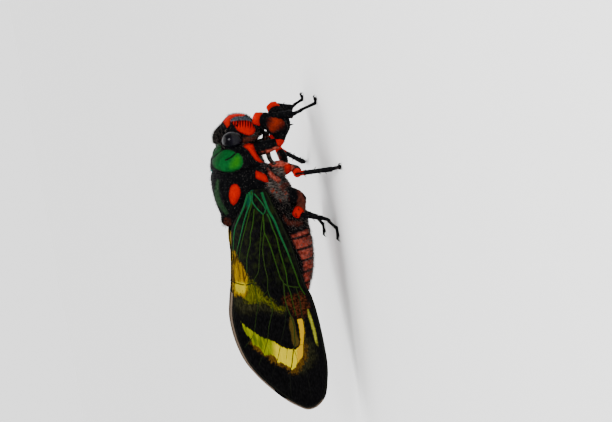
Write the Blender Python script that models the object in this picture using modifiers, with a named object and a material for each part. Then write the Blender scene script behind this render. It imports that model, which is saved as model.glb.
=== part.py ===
"""Carineta diardi, a cicada at rest on its six legs, at life size.

Blender units are metres. +X points to the head, +Y to the animal's left and +Z up.
The floor is z = 0. Sizes below are in millimetres and are scaled once, by MM.
"""
import math

import bmesh
import bpy
from mathutils import Matrix, Vector
from mathutils.geometry import delaunay_2d_cdt

MM = 0.001
# Space kept between neighbouring sub-parts
GAP = 0.3
# Design x that lies over the origin, half way between wing tips and fore claws
MIDDLE_X = -0.8
BODY_SIDES = 28
# Ends of a limb, as shares of its radius: place and radius of the last ring, and the reach
# of the point beyond it where the end is round or sharp
CAP_PLACE = 0.35
CAP_RADIUS = 0.72
ROUND_REACH = 0.55
SHARP_REACH = 1.6

# Membrane and vein thickness of the wings, and the width of a vein's slope
MEMBRANE = 0.5
VEIN_RISE = 0.32
VEIN_SLOPE = 0.42
VEIN_STEP = 1.5
FILL_STEP = 1.9
RIM_STEP = 1.9
# Least distances of a point of the sheet from the rim and from the other points
VEIN_TO_RIM = 0.45
SLOPE_TO_RIM = 0.5
SLOPE_APART = 0.5
FILL_TO_RIM = 0.8
FILL_APART = 1.1
# The folded hind wing lies this far inside the forewing
HINDWING_INSET = 1.1

# Folded wing as a roof: x against the lower line, its half width, the ridge line
# and the half width there
LOWER_LINE = ((-22, 4.7), (-13, 4.7), (-9, 5.0), (-3.5, 6.1), (1, 6.9), (4.5, 7.7), (9.4, 9.3))
LOWER_HALF = ((-22, 1.6), (-16, 2.75), (-8, 4.5), (-4, 5.35), (0, 5.9), (4, 5.9), (9.4, 5.15))
RIDGE_LINE = ((-22, 15.9), (-8, 16.2), (-3, 14.95), (0.7, 14.35), (3.9, 14.15), (9.4, 11.85))
RIDGE_HALF = ((-22, 0.5), (3, 0.5), (4, 0.85), (5, 1.6), (6, 2.7), (7, 3.7), (8, 4.4), (9.4, 5.05))
# Upper margin of the forewing, where the thorax stands free above it
UPPER_MARGIN = ((-3, 14.7), (0.7, 14.1), (3.9, 13.9), (6.8, 12.3), (9.4, 10.9))
# The body is narrower behind these x, so that the wings pass over it, and from so far
# below the wings' lower line to so far above their upper margin
FOREWING_FRONT = 9.0
HINDWING_FRONT = 8.2
BELOW_LINE = 0.9
ABOVE_MARGIN = 0.55
ABOVE_HINDWING = 0.6
WING_CLEARANCE = 0.1
NARROWEST = 0.12

FOREWING_OUTLINE = (
    (8.7, 8.7), (6.4, 8.1), (3.9, 7.4), (0.6, 6.6), (-3.9, 5.8), (-6.4, 5.0), (-9.5, 4.5),
    (-13.1, 4.2), (-15.8, 4.1), (-17.8, 4.3), (-20.3, 4.9), (-21.6, 6.1), (-21.9, 7.5),
    (-21.2, 8.8), (-19.9, 10.4), (-17.9, 12.2), (-15.9, 13.7), (-14.0, 14.7), (-11.6, 15.4),
    (-9.4, 15.7), (-7.3, 15.7), (-4.9, 15.2), (-2.9, 14.7), (0.7, 14.1), (3.9, 13.8),
    (6.8, 12.3), (8.9, 11.0), (9.1, 9.9))
# Main veins from base to tip, named as in insect anatomy
FOREWING_VEINS = {
    "radius": ((8.3, 9.3), (4.5, 8.5), (0.6, 7.6), (-3.2, 6.8), (-5.7, 6.0), (-9.5, 5.5)),
    "radial_sector": ((5.7, 9.2), (2.4, 8.6), (-0.9, 8.2), (-4.2, 8.0), (-6.2, 7.7)),
    "arculus": ((8.4, 10.6), (6.7, 10.4), (5.7, 9.7), (6.3, 9.1)),
    "median": ((5.7, 9.7), (3.3, 9.9), (0.2, 9.3), (-3.8, 8.5), (-6.9, 8.5), (-11.2, 8.0), (-15.2, 8.9)),
    "median_rear": ((3.3, 9.9), (0, 10.5), (-3.2, 10.4), (-7.3, 10.4), (-11.0, 11.5), (-15.5, 13.2)),
    "median_fork": ((-7.3, 8.7), (-11.3, 9.7), (-15.5, 11.1), (-17.9, 12.0)),
    "nodal": ((-3.8, 8.5), (-4.6, 7.2), (-4.8, 6.0)),
    "outer_sector": ((-4.8, 6.9), (-8.0, 6.7), (-12.4, 6.9), (-16.8, 7.2), (-20.6, 7.6)),
    "cubitus": ((5.7, 9.9), (3.2, 11.4), (0.9, 12.2), (-2.7, 13.1), (-5.9, 12.0), (-3.2, 10.5)),
    "cubitus_tip": ((-5.9, 12.0), (-9.6, 13.0), (-12.0, 14.6)),
    "claval": ((7.7, 11.0), (5.1, 12.1), (1.3, 13.3), (-2.6, 14.4)),
    "apical_a": ((-13.0, 9.2), (-15.9, 9.8), (-19.4, 10.4)),
    "apical_b": ((-15.2, 8.9), (-17.6, 8.9), (-20.8, 8.9)),
}
HINDWING_OUTLINE = (
    (7.6, 9.2), (4.0, 8.2), (0.0, 7.5), (-4.0, 6.9), (-7.5, 6.9), (-9.3, 8.0), (-9.6, 9.6),
    (-8.0, 11.6), (-4.6, 12.5), (0.0, 12.1), (4.0, 11.7), (6.6, 10.8), (7.7, 10.1))
# Top of the folded hind wing, under which the body is narrower
HINDWING_TOP = ((-9.0, 10.6), (-4.6, 12.5), (0.0, 12.1), (4.0, 11.7), (6.6, 10.8), (8.2, 9.9))
HINDWING_VEINS = {
    "radius": ((7.0, 9.6), (2.0, 8.6), (-4.0, 8.0), (-8.6, 8.6)),
    "median": ((6.8, 10.0), (2.0, 10.0), (-3.5, 10.4), (-7.4, 11.4)),
    "cubitus": ((6.6, 10.4), (2.5, 11.2), (-3.0, 12.4)),
}

# Body sections, front to rear: top x and z, bottom x and z, half width,
# roundness of the upper half and of the lower half
HEAD_SECTIONS = (
    (15.45, 13.55, 15.45, 8.1, 3.55, 2.4, 2.2),
    (16.2, 13.6, 15.9, 7.7, 3.75, 2.4, 2.0),
    (17.15, 13.3, 16.55, 7.6, 3.5, 2.2, 2.0),
    (18.05, 12.65, 17.45, 8.0, 2.95, 2.1, 2.0),
    (18.75, 11.95, 18.35, 8.6, 2.2, 2.0, 2.0),
    (19.12, 11.3, 18.9, 9.2, 1.3, 2.0, 2.0))
HEAD_TIP = (19.25, 10.3)
PRONOTUM_SECTIONS = (
    (15.15, 13.75, 15.15, 8.7, 3.75, 2.4, 2.1),
    (14.7, 14.2, 14.7, 8.4, 4.2, 2.4, 2.2),
    (13.7, 14.6, 13.8, 8.1, 4.55, 2.3, 2.2),
    (12.95, 14.8, 13.0, 7.9, 4.65, 2.3, 2.2),
    (12.8, 15.0, 12.85, 7.8, 4.9, 2.3, 2.2),
    (12.2, 15.05, 12.25, 7.7, 4.95, 2.3, 2.2),
    (12.05, 14.9, 12.05, 7.7, 4.75, 2.3, 2.2))
THORAX_SECTIONS = (
    (11.75, 14.95, 11.75, 7.4, 4.45, 2.3, 2.2),
    (11.2, 15.1, 11.2, 6.8, 4.6, 2.3, 2.2),
    (10.0, 15.2, 10.2, 5.6, 4.6, 2.2, 2.2),
    (8.6, 15.15, 9.0, 4.9, 4.5, 2.1, 2.2),
    (7.3, 14.95, 7.9, 4.5, 4.3, 1.8, 2.2),
    (6.0, 14.65, 6.9, 4.3, 4.15, 1.5, 2.2),
    (5.0, 14.35, 6.1, 4.3, 4.0, 1.25, 2.2),
    (4.3, 14.05, 5.4, 4.5, 3.8, 1.1, 2.2))
# Abdomen: x, top, bottom, half width
ABDOMEN_SHAPE = (
    (4.7, 11.6, 3.35, 3.9), (1.0, 11.6, 3.1, 4.2), (-0.7, 11.2, 3.15, 4.05),
    (-2.9, 10.4, 3.5, 3.55), (-4.5, 9.6, 4.05, 2.95), (-5.6, 9.0, 4.5, 2.4),
    (-7.0, 8.1, 5.2, 1.5), (-8.0, 7.3, 5.85, 0.8))
ABDOMEN_SEGMENTS = 8
ABDOMEN_FRONT = 4.8
ABDOMEN_REAR = -7.9
ABDOMEN_TIP = (-8.7, 6.4)
SEGMENT_STEP = 0.14
# Share of a segment's length where it is widest, and the slant of the front rings
SEGMENT_WIDEST = 0.82
FRONT_SLANT = 0.055
FRONT_SLANT_FROM = 3.5
SLANT_CENTRE = 7.5

EYE_CENTRE = (15.98, 3.35, 11.85)
EYE_RADII = (1.1, 1.15, 1.37)
# Turn of the eyes about Z, in degrees
EYE_TURN = 12
# Upper and lower end of the bulging face, its half width and how far it swells forwards
FACE_UPPER = (18.6, 0, 11.9)
FACE_LOWER = (16.7, 0, 7.4)
FACE_HALF_WIDTH = 1.75
FACE_SWELL = 1.3
FACE_SINK = 0.4
FACE_GROOVES = 9
GROOVE_DEPTH = 0.10
OCELLI = ((17.65, 0, 12.95), (16.7, 0.62, 13.4), (16.7, -0.62, 13.4))
OCELLUS_RADIUS = 0.27
# Each row below is a path of points, then the radius at each point
LEDGE = (((17.0, 1.9, 11.3), (17.5, 2.5, 11.0)), (0.5, 0.42))
LABRUM = (((17.0, 0, 8.3), (16.15, 0, 7.25)), (0.8, 0.6))
ANTENNA = (((17.3, 2.4, 11.0), (17.85, 3.2, 10.75), (18.4, 4.0, 10.6), (19.2, 5.0, 10.7)),
           (0.34, 0.30, 0.25, 0.12))
ROSTRUM = (((15.9, 0, 6.7), (14.8, 0, 7.05), (13.2, 0, 6.95), (11.9, 0, 6.6), (10.1, 0, 4.85)),
           (0.5, 0.45, 0.38, 0.32, 0.27))
# Cross-shaped rise on the rear of the thorax: its middle and the ends of its arms
CROSS_MIDDLE = (5.15, 0, 14.35)
CROSS_ENDS = ((6.6, 0.95, 14.35), (6.6, -0.95, 14.35), (4.5, 0.2, 13.95), (4.5, -0.2, 13.95))
CROSS_RADII = (0.42, 0.24)

COLOURS = {
    "black": ((0.012, 0.012, 0.013, 1.0), 0.45),
    "eye": ((0.010, 0.009, 0.012, 1.0), 0.15),
    "red": ((0.30, 0.02, 0.02, 1.0), 0.45),
    "wing": ((0.03, 0.032, 0.028, 1.0), 0.4),
    "hindwing": ((0.05, 0.045, 0.04, 1.0), 0.4),
    "abdomen": ((0.10, 0.03, 0.035, 1.0), 0.5),
}


def clear_scene():
    """Start from an empty scene."""
    for item in list(bpy.data.objects):
        bpy.data.objects.remove(item, do_unlink=True)


def collection(name):
    """A collection of that name in the scene."""
    made = bpy.data.collections.new(name)
    bpy.context.scene.collection.children.link(made)
    return made


clear_scene()
PARTS = collection("carineta_diardi")
CUTTERS = collection("cutters")
ROOT = bpy.data.objects.new("stance", None)
ROOT.location.x = -MIDDLE_X * MM
PARTS.objects.link(ROOT)


def material(name):
    """One Principled material for each colour in COLOURS."""
    if name in bpy.data.materials:
        return bpy.data.materials[name]
    colour, roughness = COLOURS[name]
    made = bpy.data.materials.new(name)
    made.use_nodes = True
    shader = made.node_tree.nodes["Principled BSDF"]
    shader.inputs["Base Color"].default_value = colour
    shader.inputs["Roughness"].default_value = roughness
    shader.inputs["Metallic"].default_value = 0.0
    return made


def value_at(table, x):
    """Smooth value of a table of (x, value) rows, with x rising."""
    if x <= table[0][0]:
        return table[0][1]
    if x >= table[-1][0]:
        return table[-1][1]
    last = len(table) - 1
    k = max(i for i in range(last) if table[i][0] <= x)
    (x0, v0), (x1, v1) = table[k], table[k + 1]
    step = (v1 - v0) / (x1 - x0)
    before = step if k == 0 else (v1 - table[k - 1][1]) / (x1 - table[k - 1][0])
    after = step if k + 1 == last else (table[k + 2][1] - v0) / (table[k + 2][0] - x0)
    t = (x - x0) / (x1 - x0)
    h = x1 - x0
    return ((2 * t**3 - 3 * t**2 + 1) * v0 + (t**3 - 2 * t**2 + t) * h * before
            + (3 * t**2 - 2 * t**3) * v1 + (t**3 - t**2) * h * after)


def wing_half(x, z):
    """Half width of the folded forewings at a place seen from the side."""
    low = value_at(LOWER_LINE, x)
    share = (z - low) / (value_at(RIDGE_LINE, x) - low)
    share = min(max(share, 0.0), 1.0)
    ridge = value_at(RIDGE_HALF, x)
    return ridge + (value_at(LOWER_HALF, x) - ridge) * (1.0 - share * share)


def under_wing(x, z, depth):
    """Half width of a surface that lies a depth inside the folded forewings."""
    slope = (wing_half(x, z + 0.1) - wing_half(x, z - 0.1)) / 0.2
    return wing_half(x, z) - depth * math.hypot(1.0, slope)


def inside_wings(x, y, z):
    """Bring a point of the body in under the folded wings."""
    if x > FOREWING_FRONT or z > value_at(UPPER_MARGIN, x) + ABOVE_MARGIN:
        return y
    if z < value_at(LOWER_LINE, x) - BELOW_LINE:
        return y
    covered = x < HINDWING_FRONT and z < value_at(HINDWING_TOP, x) + ABOVE_HINDWING
    depth = 0.5 * MEMBRANE + GAP + WING_CLEARANCE + (HINDWING_INSET if covered else 0.0)
    limit = max(under_wing(x, z, depth), NARROWEST)
    return math.copysign(min(abs(y), limit), y)


def superellipse(angle, power):
    """Unit outline point, square-shouldered for a high power and pointed for a low one."""
    c, s = math.cos(angle), math.sin(angle)
    return (math.copysign(abs(c) ** (2 / power), c), math.copysign(abs(s) ** (2 / power), s))


def section(row, under_wings=False):
    """Ring of points round the body from one row of a table of sections."""
    top_x, top_z, low_x, low_z, half, up, down = row
    ring = []
    for i in range(BODY_SIDES):
        angle = 2 * math.pi * (i + 0.5) / BODY_SIDES
        across, rise = superellipse(angle, up if math.sin(angle) > 0 else down)
        share = 0.5 + 0.5 * rise
        x = low_x + (top_x - low_x) * share
        z = low_z + (top_z - low_z) * share
        y = half * across
        if under_wings:
            y = inside_wings(x, y, z)
        ring.append(Vector((x, y, z)))
    return ring


def loft(rings, first_tip=None, last_tip=None):
    """Closed body through rings of equal count, each end a flat face or a tip."""
    bm = bmesh.new()
    loops = [[bm.verts.new(point) for point in ring] for ring in rings]
    count = len(loops[0])
    for near, far in zip(loops, loops[1:]):
        for i in range(count):
            j = (i + 1) % count
            bm.faces.new((near[i], near[j], far[j], far[i]))
    for loop, tip in ((loops[0], first_tip), (loops[-1], last_tip)):
        if tip is None:
            bm.faces.new(loop)
            continue
        point = bm.verts.new(tip)
        for i in range(count):
            bm.faces.new((loop[i], loop[(i + 1) % count], point))
    bmesh.ops.recalc_face_normals(bm, faces=bm.faces)
    bmesh.ops.triangulate(bm, faces=bm.faces)
    return bm


def ellipsoid(centre, radii, segments=16, rings=10, turn=None):
    """Closed ellipsoid from a UV sphere."""
    bm = bmesh.new()
    bmesh.ops.create_uvsphere(bm, u_segments=segments, v_segments=rings, radius=1.0)
    matrix = Matrix.Diagonal((*radii, 1.0))
    if turn is not None:
        matrix = turn.to_4x4() @ matrix
    bmesh.ops.transform(bm, matrix=Matrix.Translation(centre) @ matrix, verts=bm.verts)
    bmesh.ops.triangulate(bm, faces=bm.faces)
    return bm


def limb(path, radii, sides=8, rounded=(True, True), flat=1.0):
    """Tapered body along a path, with rounded or pointed ends, flattened across Y."""
    points = [Vector(p) for p in path]
    runs = [(b - a).normalized() for a, b in zip(points, points[1:])]
    ways = [runs[0]] + [(a + b).normalized() for a, b in zip(runs, runs[1:])] + [runs[-1]]
    side = ways[0].orthogonal().normalized()
    rings = []

    def ring(centre, way, radius):
        nonlocal side
        side = (side - way * side.dot(way)).normalized()
        other = way.cross(side)
        ring_points = []
        for i in range(sides):
            angle = 2 * math.pi * i / sides
            offset = radius * (math.cos(angle) * side + math.sin(angle) * other)
            offset.y *= flat
            ring_points.append(centre + offset)
        rings.append(ring_points)

    if rounded[0]:
        ring(points[0] - ways[0] * CAP_PLACE * radii[0], ways[0], radii[0] * CAP_RADIUS)
    for centre, way, radius in zip(points, ways, radii):
        ring(centre, way, radius)
    if rounded[1]:
        ring(points[-1] + ways[-1] * CAP_PLACE * radii[-1], ways[-1], radii[-1] * CAP_RADIUS)
    first = points[0] - ways[0] * ROUND_REACH * radii[0]
    last = points[-1] + ways[-1] * (ROUND_REACH if rounded[1] else SHARP_REACH) * radii[-1]
    return loft(rings, first, last)


def add_object(name, bm, place=PARTS):
    """Object in metres from a mesh in millimetres."""
    bmesh.ops.scale(bm, vec=(MM, MM, MM), verts=bm.verts)
    mesh = bpy.data.meshes.new(name)
    bm.to_mesh(mesh)
    bm.free()
    made = bpy.data.objects.new(name, mesh)
    place.objects.link(made)
    made.parent = ROOT
    return made


def largest_surface(mesh):
    """Keep only the largest closed surface of a mesh."""
    bm = bmesh.new()
    bm.from_mesh(mesh)
    bm.verts.ensure_lookup_table()
    seen, groups = set(), []
    for start in bm.verts:
        if start.index in seen:
            continue
        group, queue = [], [start]
        seen.add(start.index)
        while queue:
            vert = queue.pop()
            group.append(vert)
            for edge in vert.link_edges:
                other = edge.other_vert(vert)
                if other.index not in seen:
                    seen.add(other.index)
                    queue.append(other)
        groups.append(group)
    keep = max(groups, key=lambda g: (Vector(map(max, zip(*(v.co for v in g))))
                                      - Vector(map(min, zip(*(v.co for v in g))))).length)
    drop = [v for g in groups if g is not keep for v in g]
    bmesh.ops.delete(bm, geom=drop, context="VERTS")
    bm.to_mesh(mesh)
    bm.free()


def apply_boolean(target, operation, pieces, solver="EXACT"):
    """Join pieces to a target or cut them from it, then remove the pieces."""
    group = bpy.data.collections.new("operands")
    bpy.context.scene.collection.children.link(group)
    for piece in pieces:
        group.objects.link(piece)
    modifier = target.modifiers.new("fuse", "BOOLEAN")
    modifier.operation = operation
    modifier.operand_type = "COLLECTION"
    modifier.collection = group
    modifier.solver = solver
    bpy.context.view_layer.update()
    evaluated = target.evaluated_get(bpy.context.evaluated_depsgraph_get())
    mesh = bpy.data.meshes.new_from_object(evaluated)
    target.modifiers.clear()
    old = target.data
    target.data = mesh
    bpy.data.meshes.remove(old)
    mesh.name = target.name
    for piece in pieces:
        bpy.data.objects.remove(piece, do_unlink=True)
    bpy.data.collections.remove(group)
    largest_surface(mesh)


def fuse(name, bodies, solver="EXACT"):
    """One closed object from several closed meshes that overlap."""
    target = add_object(name, bodies[0])
    rest = [add_object(f"{name}_{i}", bm, CUTTERS) for i, bm in enumerate(bodies[1:])]
    if rest:
        apply_boolean(target, "UNION", rest, solver)
    return target


def grown(neighbour, gap=GAP):
    """Copy of a neighbour, larger all round by the gap, as a cutter."""
    bm = bmesh.new()
    bm.from_mesh(neighbour.data)
    bm.normal_update()
    for vert in bm.verts:
        vert.co += vert.normal * gap * MM * vert.calc_shell_factor()
    mesh = bpy.data.meshes.new("grown")
    bm.to_mesh(mesh)
    bm.free()
    made = bpy.data.objects.new("grown", mesh)
    CUTTERS.objects.link(made)
    made.parent = ROOT
    made.hide_render = True
    made.display_type = "WIRE"
    return made


def cut_clear(target, neighbours):
    """Cut a sub-part back so that it meets its neighbours across the gap."""
    for neighbour in neighbours:
        apply_boolean(target, "DIFFERENCE", [grown(neighbour)], "MANIFOLD")


def finish(target, colour):
    """Give a sub-part its material and shading."""
    target.data.materials.clear()
    target.data.materials.append(material(colour))
    target.data.shade_smooth()
    target.data.set_sharp_from_angle(angle=math.radians(40))
    return target


# Head and what it carries


def face_bulge():
    """Ridged bulge of the face, swollen forwards, with a smooth band down its middle."""
    upper, lower = Vector(FACE_UPPER), Vector(FACE_LOWER)
    along = (lower - upper).normalized()
    out = Vector((-along.z, 0, along.x))
    if out.x < 0:
        out = -out
    steps = 2 * FACE_GROOVES
    sides = 16
    rings = []
    for k in range(1, steps):
        t = k / steps
        swell = math.sin(math.pi * t) ** 0.55
        centre = upper.lerp(lower, t) - out * FACE_SINK
        groove = GROOVE_DEPTH if k % 2 else 0.0
        ring = []
        for i in range(sides):
            angle = 2 * math.pi * i / sides
            c, s = math.cos(angle), math.sin(angle)
            depth = groove * min(1.0, 2.0 * abs(c))
            ring.append(centre + Vector((0, 1, 0)) * c * (FACE_HALF_WIDTH * swell - depth)
                        + out * s * (FACE_SWELL * swell - depth))
        rings.append(ring)
    return loft(rings, upper - out * FACE_SINK, lower - out * FACE_SINK)


def build_head():
    """Head capsule with the face bulge, the three ocelli and the antennal ledges."""
    capsule = loft([section(row) for row in HEAD_SECTIONS], None,
                   (HEAD_TIP[0], 0, HEAD_TIP[1]))
    bodies = [capsule, face_bulge()]
    for centre in OCELLI:
        bodies.append(ellipsoid(centre, (OCELLUS_RADIUS,) * 3, 8, 6))
    for side in (1, -1):
        bodies.append(limb([(x, side * y, z) for x, y, z in LEDGE[0]], LEDGE[1], 8))
    # Labrum, between the face bulge and the beak
    bodies.append(limb(*LABRUM, 8))
    return fuse("head", bodies)


def build_eye(name, side):
    """Bulging compound eye at the side of the head."""
    x, y, z = EYE_CENTRE
    turn = Matrix.Rotation(math.radians(-EYE_TURN * side), 3, "Z")
    made = add_object(name, ellipsoid((0, 0, 0), EYE_RADII, 20, 14, turn))
    made.location = (x * MM, side * y * MM, z * MM)
    return finish(made, "eye")


def eye_sockets(body):
    """Hollow the head or the collar for the two eyes, wider by the gap."""
    x, y, z = EYE_CENTRE
    for side in (1, -1):
        turn = Matrix.Rotation(math.radians(-EYE_TURN * side), 3, "Z")
        radii = [r + GAP for r in EYE_RADII]
        cutter = add_object("socket", ellipsoid((x, side * y, z), radii, 20, 14, turn), CUTTERS)
        apply_boolean(body, "DIFFERENCE", [cutter])


def build_antenna(name, side):
    """Short stout base and a bristle that tapers forwards and out."""
    path, radii = ANTENNA
    return add_object(name, limb([(x, side * y, z) for x, y, z in path], radii, 6, (True, False)))


def build_rostrum():
    """Beak folded back along the underside between the legs."""
    return add_object("rostrum", limb(*ROSTRUM, 8, (True, False)))


# Thorax and abdomen


def build_pronotum():
    """Collar behind the head, with a raised rear rim."""
    return fuse("pronotum", [loft([section(row) for row in PRONOTUM_SECTIONS])])


def build_thorax():
    """Middle and hind thorax with the cross-shaped rise at its rear top."""
    bodies = [loft([section(row, under_wings=True) for row in THORAX_SECTIONS])]
    bodies.extend(limb((CROSS_MIDDLE, end), CROSS_RADII, 6) for end in CROSS_ENDS)
    return fuse("thorax", bodies)


def build_abdomen():
    """Abdomen of eight rings that step in towards a blunt tip."""
    tables = [[(row[0], row[k]) for row in reversed(ABDOMEN_SHAPE)] for k in (1, 2, 3)]
    rings = []
    length = (ABDOMEN_FRONT - ABDOMEN_REAR) / ABDOMEN_SEGMENTS
    for k in range(ABDOMEN_SEGMENTS):
        front = ABDOMEN_FRONT - k * length
        for x, swell in ((front, 0.0), (front - SEGMENT_WIDEST * length, SEGMENT_STEP)):
            top, low, half = (value_at(table, x) for table in tables)
            slant = FRONT_SLANT if x > FRONT_SLANT_FROM else 0.0
            row = (x - slant * (top - SLANT_CENTRE), top + swell * 0.5,
                   x + slant * (SLANT_CENTRE - low), low - swell * 0.5, half + swell, 2.0, 2.2)
            rings.append(section(row, under_wings=True))
    return fuse("abdomen", [loft(rings, None, (ABDOMEN_TIP[0], 0, ABDOMEN_TIP[1]))])


# Wings


def smooth_line(points, step, closed=False):
    """Points about one step apart on a smooth curve through the given ones."""
    pts = [Vector(p) for p in points]
    count = len(pts)
    line = []
    for k in range(count if closed else count - 1):
        a, b = pts[k], pts[(k + 1) % count]
        before = pts[k - 1] if closed or k > 0 else a
        after = pts[(k + 2) % count] if closed or k + 2 < count else b
        pieces = max(1, round((b - a).length / step))
        for i in range(pieces):
            t = i / pieces
            tangent_a, tangent_b = (b - before) * 0.5, (after - a) * 0.5
            line.append((2 * t**3 - 3 * t**2 + 1) * a + (t**3 - 2 * t**2 + t) * tangent_a
                        + (3 * t**2 - 2 * t**3) * b + (t**3 - t**2) * tangent_b)
    if not closed:
        line.append(pts[-1])
    return line


def distance_to_line(point, line):
    """Distance from a point to a polyline."""
    best = 1e9
    for a, b in zip(line, line[1:]):
        run = b - a
        t = min(max((point - a).dot(run) / run.length_squared, 0.0), 1.0)
        best = min(best, (point - a - run * t).length)
    return best


def is_inside(point, loop):
    """Whether a point lies inside a closed outline."""
    inside = False
    for a, b in zip(loop, loop[1:] + loop[:1]):
        if (a.y > point.y) != (b.y > point.y):
            if point.x < (b.x - a.x) * (point.y - a.y) / (b.y - a.y) + a.x:
                inside = not inside
    return inside


def wing_sheet(outline, veins, fill_step):
    """Flat points and triangles of a wing, with every vein along triangle edges."""
    border = smooth_line(outline, RIM_STEP, closed=True)
    rim = border + border[:1]
    lines = [smooth_line(points, VEIN_STEP) for points in veins.values()]
    points, edges = list(border), [(i, (i + 1) % len(border)) for i in range(len(border))]

    def free(point, reach):
        return all((point - other).length > reach for other in points)

    for line in lines:
        inner = [p for p in line
                 if is_inside(p, border) and distance_to_line(p, rim) > VEIN_TO_RIM]
        start = len(points)
        points.extend(inner)
        edges.extend((start + i, start + i + 1) for i in range(len(inner) - 1))
    for line in lines:
        for a, b in zip(line, line[1:]):
            across = Vector((a.y - b.y, b.x - a.x)).normalized() * VEIN_SLOPE
            for spot in ((a + b) / 2 + across, (a + b) / 2 - across):
                near = min(distance_to_line(spot, other) for other in lines)
                if (near > 0.8 * VEIN_SLOPE and free(spot, SLOPE_APART)
                        and is_inside(spot, border)
                        and distance_to_line(spot, rim) > SLOPE_TO_RIM):
                    points.append(spot)
    low = Vector((min(p.x for p in border), min(p.y for p in border)))
    high = Vector((max(p.x for p in border), max(p.y for p in border)))
    rows = int((high.y - low.y) / fill_step) + 1
    for row in range(rows):
        for column in range(int((high.x - low.x) / fill_step) + 1):
            spot = low + Vector((column + 0.5 * (row % 2), row + 0.5)) * fill_step
            if (is_inside(spot, border) and distance_to_line(spot, rim) > FILL_TO_RIM
                    and free(spot, FILL_APART)):
                points.append(spot)
    flat, _, faces, *_ = delaunay_2d_cdt(points, edges, [list(range(len(border)))], 1, 1e-4)
    return flat, faces, lines


def build_wing(name, side, outline, veins, inset):
    """Folded wing: a curved membrane with its veins raised on both faces."""
    flat, faces, lines = wing_sheet(outline, veins, FILL_STEP)
    mesh = bpy.data.meshes.new(name)
    points = [(p.x * MM, side * under_wing(p.x, p.y, inset) * MM, p.y * MM) for p in flat]
    order = [tuple(face) for face in faces]
    mesh.from_pydata(points, [], order)
    made = bpy.data.objects.new(name, mesh)
    PARTS.objects.link(made)
    made.parent = ROOT
    thickest = MEMBRANE + VEIN_RISE
    group = made.vertex_groups.new(name="thickness")
    for i, p in enumerate(flat):
        away = min(distance_to_line(p, line) for line in lines)
        rise = VEIN_RISE * max(0.0, 1.0 - away / VEIN_SLOPE)
        group.add([i], (MEMBRANE + rise) / thickest, "REPLACE")
    solid = made.modifiers.new("membrane", "SOLIDIFY")
    solid.thickness = thickest * MM
    solid.offset = 0.0
    solid.vertex_group = group.name
    bpy.context.view_layer.update()
    evaluated = made.evaluated_get(bpy.context.evaluated_depsgraph_get())
    solid_mesh = bpy.data.meshes.new_from_object(evaluated)
    made.modifiers.clear()
    made.vertex_groups.clear()
    made.data = solid_mesh
    bpy.data.meshes.remove(mesh)
    bm = bmesh.new()
    bm.from_mesh(solid_mesh)
    bmesh.ops.recalc_face_normals(bm, faces=bm.faces)
    bmesh.ops.triangulate(bm, faces=[f for f in bm.faces if len(f.verts) > 3])
    bm.to_mesh(solid_mesh)
    bm.free()
    return made


# Legs

# Each joint as x, distance from the middle plane, z. The feet end on the floor.
FORELEG = {
    "coxa": ((14.1, 2.1, 9.3), (14.2, 2.55, 7.6), (14.45, 2.85, 6.1)),
    "coxa_radii": (0.95, 0.92, 0.74),
    "trochanter": ((14.4, 2.9, 5.9), (14.9, 3.05, 5.4)),
    "trochanter_radius": 0.64,
    "femur_radii": (0.66, 1.3, 1.4, 1.05, 0.82),
    "femur_bow": 1.0,
    "femur_flat": 0.78,
    "tibia_radii": (0.56, 0.55, 0.62),
    "spines": ((0.3, 0.9), (0.55, 1.4), (0.76, 0.7)),
}
MIDLEG = {
    "coxa": ((10.6, 1.9, 7.2), (10.9, 2.5, 5.6), (11.0, 3.0, 4.9)),
    "coxa_radii": (0.95, 0.9, 0.66),
    "trochanter": ((11.0, 3.0, 4.8), (10.9, 3.6, 4.5)),
    "trochanter_radius": 0.52,
    "femur_radii": (0.48, 0.58, 0.62, 0.58, 0.52),
    "femur_bow": 0.2,
    "femur_flat": 1.0,
    "tibia_radii": (0.36, 0.31, 0.34),
    "spines": (),
}
HINDLEG = {
    "coxa": ((7.6, 1.9, 6.4), (6.9, 2.3, 4.7), (6.2, 2.7, 3.9)),
    "coxa_radii": (1.25, 1.15, 0.85),
    "trochanter": ((6.2, 3.0, 3.9), (5.9, 3.5, 4.1)),
    "trochanter_radius": 0.55,
    "femur_radii": (0.5, 0.66, 0.7, 0.66, 0.58),
    "femur_bow": 0.1,
    "femur_flat": 1.0,
    "tibia_radii": (0.36, 0.31, 0.34),
    "spines": (),
}
# Knee, end of the tibia, and the two ends of the foot
STANCE = {
    "foreleg_r": (FORELEG, -1, (18.25, 3.6, 8.3), (18.0, 4.1, 3.6), (18.2, 4.2, 2.5), (19.5, 4.7, 0.2)),
    "foreleg_l": (FORELEG, 1, (19.2, 3.9, 4.8), (18.3, 5.6, 2.1), (18.6, 5.7, 1.5), (19.7, 5.6, 0.2)),
    "midleg_r": (MIDLEG, -1, (10.3, 6.5, 4.5), (10.5, 11.3, 0.8), (10.6, 12.0, 0.4), (10.9, 14.5, 0.2)),
    "midleg_l": (MIDLEG, 1, (13.0, 6.2, 4.5), (10.4, 10.8, 0.8), (10.2, 11.7, 0.4), (10.3, 14.51, 0.2)),
    "hindleg_r": (HINDLEG, -1, (4.9, 5.1, 5.3), (3.8, 5.0, 2.0), (3.4, 4.9, 1.2), (1.0, 4.7, 0.2)),
    "hindleg_l": (HINDLEG, 1, (5.0, 5.2, 5.2), (3.5, 5.4, 1.8), (3.1, 5.5, 1.0), (0.7, 5.6, 0.2)),
}
FOOT_RADIUS = 0.3
# Shares of the foot's length where its first and second joints end
FIRST_JOINT = 0.12
SECOND_JOINT = 0.55
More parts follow.
